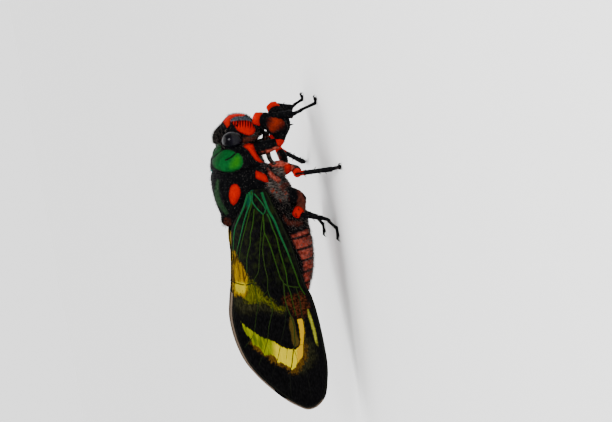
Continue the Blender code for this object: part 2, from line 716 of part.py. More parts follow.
# Claws: length, heights of the bend and the tip, and spread to each side
CLAW_LENGTH = 0.75
CLAW_BEND_HEIGHT = 0.34
CLAW_TIP_HEIGHT = 0.12
CLAW_RADII = (0.2, 0.17, 0.08)
SPINE_RADII = (0.36, 0.12)
SPINE_ROOT_DEPTH = 0.6
FLOOR_CUBE = 60.0


def femur_path(start, knee, bow, count=5):
    """Points along the thigh, which bows away from the body below."""
    run = (knee - start).normalized()
    below = Vector((0, 0, -1)) - run * -run.z
    points = []
    for k in range(count):
        t = k / (count - 1)
        points.append(start.lerp(knee, t) + below.normalized() * bow * math.sin(math.pi * t ** 0.8))
    return points


def build_leg(name, shape, side, knee, ankle, heel, toe):
    """One leg from its root under the thorax to its two claws."""

    def at(place):
        return Vector((place[0], side * place[1], place[2]))

    coxa = [at(p) for p in shape["coxa"]]
    trochanter = [at(p) for p in shape["trochanter"]]
    knee, ankle, heel, toe = at(knee), at(ankle), at(heel), at(toe)
    thigh = femur_path(trochanter[-1], knee, shape["femur_bow"])
    bodies = [
        limb(coxa, shape["coxa_radii"], 10),
        limb(trochanter, [shape["trochanter_radius"]] * 2, 10),
        limb(thigh, shape["femur_radii"], 10, flat=shape["femur_flat"]),
    ]
    shin = [knee, knee.lerp(ankle, 0.5), ankle]
    bodies.append(limb(shin, shape["tibia_radii"], 8))
    first = heel.lerp(toe, FIRST_JOINT)
    middle = heel.lerp(toe, SECOND_JOINT)
    middle.z = toe.z + 0.03
    bodies.append(limb((ankle, heel, first), (FOOT_RADIUS, FOOT_RADIUS, FOOT_RADIUS * 1.08), 7))
    bodies.append(limb((first, middle, toe), (FOOT_RADIUS, FOOT_RADIUS * 0.92, FOOT_RADIUS * 1.05), 7))
    onward = (toe - heel).normalized()
    across = Vector((0, 0, 1)).cross(onward).normalized()
    for turn in (1, -1):
        bend = toe + onward * 0.55 * CLAW_LENGTH + across * turn * 0.4 * CLAW_LENGTH
        tip = toe + onward * CLAW_LENGTH * 1.05 + across * turn * 0.5 * CLAW_LENGTH
        bend.z = CLAW_BEND_HEIGHT
        tip.z = CLAW_TIP_HEIGHT
        bodies.append(limb((toe, bend, tip), CLAW_RADII, 5, (True, False)))
    # Spines along the underside of the thigh
    run = (knee - trochanter[-1]).normalized()
    down = Vector((0, 0, -1))
    down = (down - run * down.dot(run)).normalized()
    for share, length in shape["spines"]:
        root = trochanter[-1].lerp(knee, share) + down * (shape["femur_bow"] + SPINE_ROOT_DEPTH)
        point = root + down * (0.35 + length) + run * 0.45 * length
        bodies.append(limb((root, point), SPINE_RADII, 6, (True, False)))
    made = fuse(name, bodies, "MANIFOLD")
    # Flat under the foot, where it meets the floor
    floor = bmesh.new()
    bmesh.ops.create_cube(floor, size=FLOOR_CUBE)
    bmesh.ops.translate(floor, vec=(0, 0, -FLOOR_CUBE / 2), verts=floor.verts)
    apply_boolean(made, "DIFFERENCE", [add_object("below_floor", floor, CUTTERS)], "MANIFOLD")
    return made


def main():
    """Build every sub-part and fit it to its neighbours."""
    head = build_head()
    eye_sockets(head)
    pronotum = build_pronotum()
    eye_sockets(pronotum)
    thorax = build_thorax()
    abdomen = build_abdomen()
    for side, tag in ((1, "l"), (-1, "r")):
        build_eye(f"eye_{tag}", side)
        antenna = build_antenna(f"antenna_{tag}", side)
        cut_clear(antenna, [head])
        finish(antenna, "black")
        forewing = build_wing(f"forewing_{tag}", side, FOREWING_OUTLINE, FOREWING_VEINS, 0.0)
        finish(forewing, "wing")
        hindwing = build_wing(f"hindwing_{tag}", side, HINDWING_OUTLINE, HINDWING_VEINS, HINDWING_INSET)
        finish(hindwing, "hindwing")
    rostrum = build_rostrum()
    cut_clear(rostrum, [head, pronotum, thorax])
    for name, (shape, side, *joints) in STANCE.items():
        leg = build_leg(name, shape, side, *joints)
        cut_clear(leg, [pronotum, thorax, abdomen])
        finish(leg, "red" if name.startswith("fore") else "black")
    for body, colour in ((head, "black"), (pronotum, "black"), (thorax, "black"), (abdomen, "abdomen"),
                         (rostrum, "red")):
        finish(body, colour)


main()
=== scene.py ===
"""Looks of the carineta diardi, a cicada standing on a pale floor, life size.

Shapes are worked out in millimetres, x to the head, y to the animal's left, z up from the
floor, and are brought to metres and to the frame's origin once, in add_mesh.
"""
import math

import bmesh
import bpy
import numpy as np
from mathutils import Matrix, Vector
from mathutils.geometry import delaunay_2d_cdt


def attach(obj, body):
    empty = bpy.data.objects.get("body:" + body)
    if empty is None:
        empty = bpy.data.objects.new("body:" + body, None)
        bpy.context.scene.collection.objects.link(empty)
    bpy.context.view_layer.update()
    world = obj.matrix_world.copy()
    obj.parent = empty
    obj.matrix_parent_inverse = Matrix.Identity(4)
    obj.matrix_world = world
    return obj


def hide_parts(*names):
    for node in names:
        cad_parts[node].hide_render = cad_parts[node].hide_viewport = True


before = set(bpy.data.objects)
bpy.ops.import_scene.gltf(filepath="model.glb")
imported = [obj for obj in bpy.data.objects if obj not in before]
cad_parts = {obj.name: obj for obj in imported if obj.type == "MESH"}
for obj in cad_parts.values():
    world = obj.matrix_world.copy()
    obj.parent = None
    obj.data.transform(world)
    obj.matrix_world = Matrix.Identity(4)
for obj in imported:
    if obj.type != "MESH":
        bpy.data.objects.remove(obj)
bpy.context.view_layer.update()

MM = 0.001
# Design x that lies over the frame's origin
MIDDLE_X = -0.8

# The camera looks at the right side, a little from the front and above
VIEW_SWING = math.radians(6.0)
VIEW_RISE = math.radians(9.0)
VIEW_DISTANCE = 260.0
VIEW_TARGET = (4.56, 0.0, 3.14)
# The photograph stands on end: its right is down the animal and its top is ahead
VIEW_ROLL = (-0.181, -0.983)
PHOTO_WIDTH, PHOTO_HEIGHT = 612, 422
MM_PER_PIXEL = 0.135

# Folded wings, from the same lines as the solids: x against a height or a half width
MEMBRANE = 0.5
HINDWING_INSET = 1.1
# The body keeps this far from the wings, and is nowhere narrower than this
GAP = 0.3
NARROWEST = 0.12
# Where the wings reach forward to, and how far past their margins the body is narrower
FOREWING_FRONT = 9.0
HINDWING_FRONT = 8.2
ABOVE_HINDWING = 0.6
ABOVE_MARGIN = 0.55
BELOW_LINE = 0.9
LOWER_LINE = ((-22, 4.7), (-13, 4.7), (-9, 5.0), (-3.5, 6.1), (1, 6.9), (4.5, 7.7), (9.4, 9.3))
LOWER_HALF = ((-22, 1.6), (-16, 2.75), (-8, 4.5), (-4, 5.35), (0, 5.9), (4, 5.9), (9.4, 5.15))
RIDGE_LINE = ((-22, 15.9), (-8, 16.2), (-3, 14.95), (0.7, 14.35), (3.9, 14.15), (9.4, 11.85))
RIDGE_HALF = ((-22, 0.5), (3, 0.5), (4, 0.85), (5, 1.6), (6, 2.7), (7, 3.7), (8, 4.4), (9.4, 5.05))
UPPER_MARGIN = ((-3, 14.7), (0.7, 14.1), (3.9, 13.9), (6.8, 12.3), (9.4, 10.9))
HINDWING_TOP = ((-9.0, 10.6), (-4.6, 12.5), (0.0, 12.1), (4.0, 11.7), (6.6, 10.8), (8.2, 9.9))

FOREWING_OUTLINE = (
    (8.7, 8.7), (6.4, 8.1), (3.9, 7.4), (0.6, 6.6), (-3.9, 5.8), (-6.4, 5.0),
    (-9.5, 4.5), (-13.1, 4.2), (-15.8, 4.1), (-17.8, 4.3), (-20.3, 4.9), (-21.6, 6.1), (-21.9, 7.5),
    (-21.2, 8.8), (-19.9, 10.4), (-17.9, 12.2), (-15.9, 13.7), (-14.0, 14.7), (-11.6, 15.4),
    (-9.4, 15.7), (-7.3, 15.7), (-4.9, 15.2), (-2.9, 14.7), (0.7, 14.1), (3.9, 13.8), (6.8, 12.3),
    (8.9, 11.0), (9.1, 9.9)
)
# Veins: half thickness at the base and at the end, how green they are there, then the points
# Radius at both ends, greenness at both ends, line
FOREWING_VEINS = {
    "radius": (0.19, 0.09, 1.0, 0.75, ((8.6, 9.4), (6.3, 9.0), (4.5, 8.4), (2.6, 8.0), (0.6, 7.5),
        (-1.3, 7.1), (-3.2, 6.7), (-4.5, 6.5), (-5.9, 5.9))),
    "costa": (0.12, 0.1, 0.15, 0.0, ((8.6, 8.9), (6.4, 8.3), (3.9, 7.6), (0.6, 6.8), (-3.9, 6.0),
        (-6.4, 5.2), (-9.5, 4.7), (-13.1, 4.45), (-15.8, 4.35), (-17.8, 4.5), (-20.2, 5.2),
        (-21.3, 6.3), (-21.55, 7.5))),
    "ambient": (0.1, 0.08, 0.1, 0.0, ((-21.55, 7.5), (-20.8, 8.8), (-19.5, 10.2), (-17.6, 11.9),
        (-15.7, 13.3), (-13.8, 14.35), (-11.6, 15.05), (-9.4, 15.3), (-7.3, 15.3), (-4.9, 14.9),
        (-2.9, 14.45), (0.7, 13.9))),
    "radial_sector": (0.12, 0.08, 0.85, 0.55, ((5.7, 9.2), (5.0, 9.0), (3.7, 8.8), (2.4, 8.5),
        (0.8, 8.4), (-0.9, 8.2), (-2.4, 8.0), (-4.2, 8.0), (-5.2, 7.8), (-6.2, 7.7), (-8.6, 7.45))),
    "basal": (0.11, 0.09, 0.9, 0.9, ((8.6, 10.4), (7.4, 9.7), (6.3, 9.3), (5.7, 9.7))),
    "arculus": (0.13, 0.1, 0.9, 0.8, ((8.8, 10.6), (7.7, 10.8), (6.7, 10.4), (5.7, 9.7))),
    "median": (0.11, 0.08, 0.75, 0.35, ((5.7, 9.7), (4.5, 9.8), (3.3, 9.9), (2.5, 9.7), (1.1, 9.4),
        (-0.3, 9.2), (-1.7, 9.0), (-3.0, 8.8), (-3.8, 8.5), (-5.5, 8.6), (-6.9, 8.5), (-8.3, 8.2),
        (-9.7, 7.9), (-11.2, 8.0), (-12.4, 8.1), (-13.2, 8.4), (-15.2, 8.9), (-16.4, 9.3),
        (-19.6, 9.6))),
    "median_rear": (0.09, 0.07, 0.6, 0.25, ((3.3, 9.9), (1.3, 10.4), (-0.1, 10.5), (-1.4, 10.5),
        (-3.0, 10.4), (-4.5, 10.6), (-5.8, 10.4), (-7.3, 10.4), (-8.5, 10.8), (-9.7, 11.2),
        (-11.0, 11.5), (-12.6, 12.1), (-14.6, 13.2))),
    "median_fork": (0.08, 0.07, 0.4, 0.1, ((-6.6, 8.5), (-7.3, 8.6), (-9.3, 9.0), (-11.3, 9.7),
        (-12.6, 10.1), (-14.5, 10.8), (-16.8, 11.9))),
    "apical_a": (0.07, 0.06, 0.1, 0.0, ((-11.6, 9.0), (-12.9, 9.2), (-14.7, 9.6), (-15.9, 9.8),
        (-18.6, 10.7))),
    "apical_b": (0.07, 0.06, 0.2, 0.0, ((-13.2, 8.3), (-15.6, 8.0), (-18.0, 8.1), (-21.0, 8.4))),
    "nodal": (0.1, 0.1, 0.6, 0.6, ((-3.8, 8.5), (-4.2, 8.1), (-4.5, 7.4), (-4.7, 6.6))),
    "outer_sector": (0.09, 0.07, 0.5, 0.1, ((-4.6, 7.0), (-6.5, 6.7), (-7.9, 6.7), (-9.5, 6.6),
        (-10.8, 6.6), (-12.4, 6.9), (-14.5, 7.2), (-17.5, 7.0), (-20.9, 6.9))),
    "crossing": (0.07, 0.07, 0.1, 0.1, ((-12.9, 8.1), (-12.7, 7.6), (-12.6, 7.0))),
    "cubitus": (0.1, 0.08, 0.7, 0.3, ((6.6, 10.7), (4.7, 11.1), (3.2, 11.6), (2.0, 11.8),
        (0.9, 12.2), (-0.1, 12.5), (-1.4, 12.7), (-2.7, 13.1))),
    "cubitus_fork": (0.08, 0.07, 0.6, 0.3, ((5.7, 9.7), (3.9, 10.2), (2.0, 10.6), (0.0, 11.0),
        (-1.9, 11.4), (-3.0, 12.1), (-4.4, 12.1), (-6.4, 12.1), (-7.7, 12.5), (-9.6, 13.0),
        (-10.6, 13.4), (-11.9, 14.6))),
    "cubitus_link": (0.07, 0.07, 0.4, 0.3, ((-4.5, 10.6), (-5.2, 11.3), (-5.9, 11.9),
        (-6.4, 12.1))),
    "cubitus_end": (0.07, 0.06, 0.2, 0.1, ((-6.2, 13.6), (-7.2, 14.0), (-8.1, 14.4), (-9.1, 15.0))),
    "gold_cross": (0.09, 0.09, 0.0, 0.0, ((-2.9, 14.75), (-3.3, 13.9), (-3.5, 13.1), (-3.3, 12.3))),
    "claval_inner": (0.11, 0.07, 0.7, 0.35, ((9.0, 10.7), (8.0, 10.75), (7.2, 10.95), (6.2, 11.35),
        (4.45, 11.95), (2.1, 12.8), (-0.1, 13.45))),
    "fold": (0.06, 0.05, 0.4, 0.15, ((6.1, 11.1), (4.35, 11.6), (1.4, 12.45), (-0.9, 12.95))),
    "claval": (0.14, 0.07, 1.0, 0.4, ((8.9, 11.0), (7.7, 11.0), (6.4, 11.6), (5.1, 12.1),
        (3.9, 12.5), (2.5, 13.0), (1.3, 13.4), (0.3, 13.7), (-0.7, 14.0))),
    "anal": (0.16, 0.07, 1.0, 0.35, ((8.7, 11.2), (6.9, 12.0), (5.4, 12.75), (4.1, 13.3),
        (2.6, 13.65), (0.7, 13.95), (-0.6, 14.2))),
}
HINDWING_OUTLINE = (
    (7.6, 9.2), (4.0, 8.2), (0.0, 7.5), (-4.0, 6.9), (-7.5, 6.9), (-9.3, 8.0),
    (-9.6, 9.6), (-8.0, 11.6), (-4.6, 12.5), (0.0, 12.1), (4.0, 11.7), (6.6, 10.8), (7.7, 10.1)
)
HINDWING_VEINS = {
    "radius": (0.12, 0.08, 0.3, 0.1, ((7.4, 9.6), (2.0, 8.6), (-4.0, 8.0), (-8.6, 8.6))),
    "median": (0.1, 0.07, 0.3, 0.1, ((7.2, 9.9), (2.0, 9.8), (-3.5, 10.0), (-8.0, 10.6))),
    "cubitus": (0.1, 0.07, 0.3, 0.1, ((7.0, 10.2), (2.5, 10.9), (-3.0, 11.6), (-6.2, 12.2))),
    "cross": (0.06, 0.06, 0.1, 0.1, ((-4.5, 8.0), (-4.8, 10.1), (-4.0, 11.6))),
    "edge": (0.09, 0.07, 0.2, 0.1, ((7.4, 9.3), (4.0, 8.35), (0.0, 7.65), (-4.0, 7.05),
        (-7.4, 7.05), (-9.1, 8.1), (-9.4, 9.6), (-7.9, 11.4), (-4.6, 12.35), (0.0, 11.95))),
}
# Coloured fields of the forewing, as outlines in photo pixels
BAND = (
    (240, 319), (246, 325), (254, 331), (262, 336), (270, 339), (276, 342), (281, 345),
    (286, 347.5), (292, 348.5), (297, 348), (299.5, 346), (300.5, 342), (300, 336), (299.5, 330),
    (298.5, 324), (297, 319.5), (300, 318.5), (303, 319), (304.5, 326), (305, 333), (304, 341),
    (303, 345), (303.5, 352), (302, 357), (299, 361), (297, 366), (293, 371), (290, 369),
    (286, 365), (281, 363), (277, 363), (275, 357), (271, 355), (266, 356), (262, 353), (258, 347),
    (252, 345), (250, 339), (246, 335), (244, 330), (241, 324)
)
GOLD = (
    (233.5, 250), (236, 254), (238, 259), (241, 263), (244.5, 270), (248, 277), (247, 285),
    (248, 291), (246, 296), (243, 297.5), (240, 294), (237, 297), (234, 294), (233, 285),
    (233, 276), (232.5, 262)
)
FRINGE = (
    (250, 343), (258, 351), (268, 358), (275, 364), (284, 367), (290, 372), (296, 374),
    (302, 367), (307, 357), (306, 346), (303, 341), (299, 352), (293, 360), (280, 356), (266, 348),
    (254, 339)
)
GLOW = ((235, 283), (241, 282), (246.5, 284), (246.5, 290), (243, 294), (239, 293), (235.5, 290))
OLIVE = (
    (245, 277), (250, 280), (256, 286), (261, 290), (263, 296), (268, 299), (274, 302),
    (277, 306), (281, 307), (285, 308), (284, 311), (279, 310), (274, 308), (271, 305), (266, 303),
    (261, 303), (256, 302), (250, 303), (246, 300), (244, 292)
)
MAROON = (
    (282, 299), (287, 294), (291, 296), (296, 294), (300, 292), (304, 294), (307, 300),
    (309, 307), (307, 313), (303, 318), (300, 315), (296, 317), (293, 313), (291, 308), (289, 311),
    (286, 306)
)
AMBER = (
    (291, 315), (293, 318), (295, 325), (297, 335), (299.5, 342), (296, 347), (292.5, 343),
    (291.5, 335), (289.5, 328), (289.5, 320)
)
PALE = (
    (307.6, 308.5), (310, 313), (312.5, 320), (315, 329), (317, 338), (318, 347), (316.2, 344),
    (314, 336), (311.5, 327), (309, 318), (307.6, 312.5)
)
# Smoky parts beside its yellow fields, and a green glint painted at its root
SMOKE = (
    (235, 296), (246, 301), (262, 304), (276, 308), (284, 311), (276, 312), (264, 309),
    (254, 311), (247, 312), (239, 309), (234, 303)
)
ROOT_GLINT = (
    (243.5, 189), (247, 188), (252.5, 189), (252, 197), (251, 203), (247.5, 208), (246.5, 202),
    (245.5, 194)
)
HAZE = (
    (302, 338), (307, 339), (312, 346), (314, 356), (309, 366), (302, 371), (297, 369),
    (303, 355)
)
# Marks of the body, in photo pixels, and the dot on its back in millimetres
FACE_RED = (
    (231, 121.5), (236, 121), (242, 120.5), (248, 120.5), (252, 122), (254, 126),
    (255.5, 130), (253, 134.5), (249, 135.5), (244, 134), (238, 131), (235.5, 128), (234, 125)
)
# Middle band of the face: its blue grey is a painted reflection over dark shell
FACE_BAND = (
    (229, 117), (236, 114.5), (243, 115), (249, 117.5), (253, 122), (249, 121), (242, 120),
    (236, 121), (231, 122)
)
FACE_RIM = (
    (222.5, 127), (222, 120), (226, 114), (233, 110), (242, 110), (248, 113), (240, 115.5),
    (232, 116), (227, 119), (225, 124)
)
VERTEX_SPOT = ((216, 136.5), (219, 135.5), (220.5, 138), (219, 140.5), (216.5, 140))
CHEEK_SILVER = ((249, 134.5), (255, 132.5), (261, 135), (262, 140), (257, 142), (251, 140))
CHEEK = (
    (243, 138), (250, 137), (258, 137), (258, 140), (250, 141), (246, 143), (246, 148),
    (243, 146)
)
LOBE = (
    (212, 161), (215.5, 156.5), (221, 151.5), (226, 149.8), (232, 150.5), (236, 153),
    (239.5, 153.5), (242, 157), (243.3, 162), (241.5, 167), (238, 170), (232, 172), (225, 171.8),
    (219, 170), (214, 167)
)
LOBE_LIGHT = (
    (235, 156), (238.5, 155), (241, 160), (239, 166), (234, 168.5), (230, 168),
    (231, 163)
)
LOBE_GROOVE = ((238, 150.5), (235, 154), (231, 157.5), (226, 160))
UPPER_GREEN = (
    (211, 158), (213, 150), (216, 144.5), (220, 143), (222, 146), (221, 150),
    (216.5, 154)
)
DOT_CENTRE = (12.1, 0.0, 15.0)
BACK_STRIPE = (
    (217, 179), (219, 180), (219, 190), (221, 200), (225, 207), (228.5, 213), (226, 215),
    (221.5, 210), (216.5, 203), (214.5, 195), (215, 187)
)
OVAL_SPOT = (
    (230, 188), (233.5, 184), (237, 184.3), (240.5, 190), (240, 196), (236.5, 203),
    (233.5, 205.5), (230.8, 203), (229, 197)
)
BACK_TIP = ((223.5, 220), (226, 217.5), (230, 219), (231, 224), (228, 227), (225, 226))
COLLAR_STRIPE = (
    (243.5, 146), (249, 143.3), (253, 144), (254.5, 149), (257, 154), (261, 160),
    (264, 162.5), (260, 162.5), (256, 160.5), (251, 154), (247.5, 149.5)
)
SIDE_PATCH = (
    (256, 170.5), (260, 172), (264, 173.5), (267, 177), (268.5, 182.5), (265, 182),
    (260, 180), (256, 178.5)
)
SIDE_STREAK = (
    (267.5, 168), (270, 169.5), (274, 175), (280, 178.5), (280.5, 181.5), (275, 180.5),
    (271, 177), (268.5, 173)
)
VENTER = ((268, 180), (282, 181), (287, 190), (288, 200), (280, 201), (270, 194), (267, 187))
FLAP = (
    (282, 184), (290, 182), (297, 185), (301.5, 192), (304.5, 200), (302, 206), (297, 203),
    (299, 197), (297, 190), (292, 186), (286, 187), (284, 192), (281, 190)
)
KNEE_SHADE = (
    (284, 214), (288, 219), (295, 221.5), (302, 221), (303, 224), (297, 226.5),
    (289, 225), (284, 219)
)
# Pink of the belly; its top edge runs low so that the strip in shade under the hind thigh stays
# black: painted shade
BELLY = (
    (292, 236), (297, 234.5), (303, 232), (307, 230), (311, 236), (315, 250), (316, 264),
    (312, 280), (308, 290), (306, 281), (304.5, 272), (303.5, 262), (300.5, 254), (297, 247),
    (294, 241)
)
# Marks of the middle leg's root
LEG_RINGS = ((284.5, 165), (290, 164.5), (291.5, 170), (291.5, 177), (287, 177), (285.5, 171))
LEG_PINK = ((270, 162), (280, 162), (289, 162.5), (289, 165.5), (280, 166.5), (272, 166))
LEG_GREY = ((273, 166.5), (280, 167.5), (285, 168), (286, 176), (279, 177), (274, 172))
HEM = ((230.2, 230), (230.6, 245), (231.2, 262), (231.6, 275))


def unit(rows):
    """Vectors scaled to a length of one."""
    return rows / np.linalg.norm(rows, axis=-1, keepdims=True)


def value_at(table, x):
    """Smooth values of a table of (x, value) rows."""
    xs, vs = np.array(table, float).T
    step = np.diff(vs) / np.diff(xs)
    slopes = np.concatenate([step[:1], (vs[2:] - vs[:-2]) / (xs[2:] - xs[:-2]), step[-1:]])
    x = np.clip(np.asarray(x, float), xs[0], xs[-1])
    k = np.clip(np.searchsorted(xs, x, side="right") - 1, 0, len(xs) - 2)
    h = xs[k + 1] - xs[k]
    t = (x - xs[k]) / h
    return ((2 * t**3 - 3 * t**2 + 1) * vs[k] + (t**3 - 2 * t**2 + t) * h * slopes[k]
            + (3 * t**2 - 2 * t**3) * vs[k + 1] + (t**3 - t**2) * h * slopes[k + 1])


def wing_half(x, z):
    """Half width of the folded forewings at a place seen from the side."""
    low = value_at(LOWER_LINE, x)
    share = np.clip((z - low) / (value_at(RIDGE_LINE, x) - low), 0.0, 1.0)
    ridge = value_at(RIDGE_HALF, x)
    return ridge + (value_at(LOWER_HALF, x) - ridge) * (1.0 - share * share)


def under_wing(x, z, depth):
    """Half width of a surface that lies a depth inside the folded forewings."""
    slope = (wing_half(x, z + 0.1) - wing_half(x, z - 0.1)) / 0.2
    return wing_half(x, z) - depth * np.hypot(1.0, slope)


def inside_wings(points):
    """Bring points of the body in under the folded wings."""
    x, y, z = points.T
    covered = (x < HINDWING_FRONT) & (z < value_at(HINDWING_TOP, x) + ABOVE_HINDWING)
    inset = np.where(covered, HINDWING_INSET, 0.0)
    limit = np.maximum(under_wing(x, z, inset + 0.5 * MEMBRANE + GAP), NARROWEST)
    held = (x < FOREWING_FRONT) & (z < value_at(UPPER_MARGIN, x) + ABOVE_MARGIN)
    held &= z > value_at(LOWER_LINE, x) - BELOW_LINE
    y = np.where(held, np.sign(y) * np.minimum(np.abs(y), limit), y)
    return np.stack([x, y, z], 1)


def view_axes():
    """Right, up and near directions of the side view."""
    level = np.array((math.cos(VIEW_SWING), math.sin(VIEW_SWING), 0.0))
    near = np.array((math.sin(VIEW_SWING) * math.cos(VIEW_RISE),
                     -math.cos(VIEW_SWING) * math.cos(VIEW_RISE), math.sin(VIEW_RISE)))
    above = np.cross(near, level)
    c, s = VIEW_ROLL
    return c * level + s * above, -s * level + c * above, near


def chart(points, far=False):
    """Places of points on the chart of marks, the same for the left and the right side."""
    right, up, near = view_axes()
    side = 1 if far else -1
    rel = np.stack([points[:, 0], side * np.abs(points[:, 1]), points[:, 2]], 1) - VIEW_TARGET
    scale = VIEW_DISTANCE / (VIEW_DISTANCE - rel @ near) / MM_PER_PIXEL
    across, down = PHOTO_WIDTH / 2 + (rel @ right) * scale, PHOTO_HEIGHT / 2 - (rel @ up) * scale
    return np.stack([across, down], 1)


def curve(a, b, before, after, t):
    """Places between a and b on a smooth curve that also passes their neighbours."""
    return ((2 * t**3 - 3 * t**2 + 1) * a + (t**3 - 2 * t**2 + t) * (b - before) / 2
            + (3 * t**2 - 2 * t**3) * b + (t**3 - t**2) * (after - a) / 2)


def smooth_line(points, step, closed=False):
    """Points about one step apart on a smooth curve through the given ones."""
    pts = np.array(points, float)
    count = len(pts)
    line = []
    for k in range(count if closed else count - 1):
        a, b = pts[k], pts[(k + 1) % count]
        before = pts[k - 1] if closed or k > 0 else a
        after = pts[(k + 2) % count] if closed or k + 2 < count else b
        pieces = max(1, round(float(np.linalg.norm(b - a)) / step))
        line.append(curve(a, b, before, after, np.arange(pieces)[:, None] / pieces))
    if not closed:
        line.append(pts[-1:])
    return np.concatenate(line)


def line_distance(points, line):
    """Distance from each point to a polyline."""
    best = np.full(len(points), 1e9)
    for a, b in zip(line[:-1], line[1:]):
        run = b - a
        t = np.clip((points - a) @ run / (run @ run), 0, 1)
        best = np.minimum(best, np.linalg.norm(points - a - t[:, None] * run, axis=1))
    return best


def inside_loop(points, loop):
    """Whether each point lies inside a closed outline."""
    inside = np.zeros(len(points), bool)
    for a, b in zip(loop, np.roll(loop, -1, 0)):
        if a[1] == b[1]:
            continue
        crosses = (a[1] > points[:, 1]) != (b[1] > points[:, 1])
        at = (b[0] - a[0]) * (points[:, 1] - a[1]) / (b[1] - a[1]) + a[0]
        inside ^= crosses & (points[:, 0] < at)
    return inside


def field(places, loop):
    """Signed distance in mm to an outline on the chart, above zero inside it."""
    loop = smooth_line(loop, 3.0, closed=True)
    away = line_distance(places, np.concatenate([loop, loop[:1]])) * MM_PER_PIXEL
    return np.where(inside_loop(places, loop), away, -away)


def stripe(places, line, half):
    """Signed distance to a stripe along a line on the chart, above zero inside it."""
    return half - line_distance(places, np.array(line, float)) * MM_PER_PIXEL


def add_mesh(name, points, faces, fields=None):
    """Object from points in design millimetres, with named values on its points."""
    mesh = bpy.data.meshes.new(name)
    shifted = (np.asarray(points, float) - (MIDDLE_X, 0, 0)) * MM
    mesh.from_pydata([tuple(p) for p in shifted], [], [tuple(int(i) for i in f) for f in faces])
    for key, values in (fields or {}).items():
        layer = mesh.attributes.new(key, "FLOAT", "POINT")
        layer.data.foreach_set("value", np.asarray(values, np.float32))
    mesh.shade_smooth()
    made = bpy.data.objects.new(name, mesh)
    bpy.context.scene.collection.objects.link(made)
    return made


def design_points(item):
    """Points of an object back in design millimetres."""
    count = len(item.data.vertices)
    flat = np.empty(count * 3)
    item.data.vertices.foreach_get("co", flat)
    return flat.reshape(-1, 3) / MM + (MIDDLE_X, 0, 0)


def set_points(item, points):
    """Move an object's points to places in design millimetres."""
    shifted = (points - (MIDDLE_X, 0, 0)) * MM
    item.data.vertices.foreach_set("co", shifted.ravel())
    item.data.update()


def point_normals(item):
    """Normals at an object's points."""
    flat = np.empty(len(item.data.vertices) * 3)
    item.data.vertices.foreach_get("normal", flat)
    return flat.reshape(-1, 3)


def face_outward(mesh):
    """Turn all faces of a closed mesh outwards."""
    bm = bmesh.new()
    bm.from_mesh(mesh)
    bmesh.ops.recalc_face_normals(bm, faces=bm.faces)
    bm.to_mesh(mesh)
    bm.free()


def set_field(item, key, values):
    """Store a named value on an object's points."""
    layer = item.data.attributes.get(key) or item.data.attributes.new(key, "FLOAT", "POINT")
    layer.data.foreach_set("value", np.asarray(values, np.float32))


def grid_faces(rings, sides):
    """Quads between rings of points that follow one another."""
    i, j = np.meshgrid(np.arange(rings - 1), np.arange(sides), indexing="ij")
    i, j = i.ravel(), j.ravel()
    k = (j + 1) % sides
    here, onward = i * sides, (i + 1) * sides
    return np.stack([here + j, here + k, onward + k, onward + j], 1)


# Materials


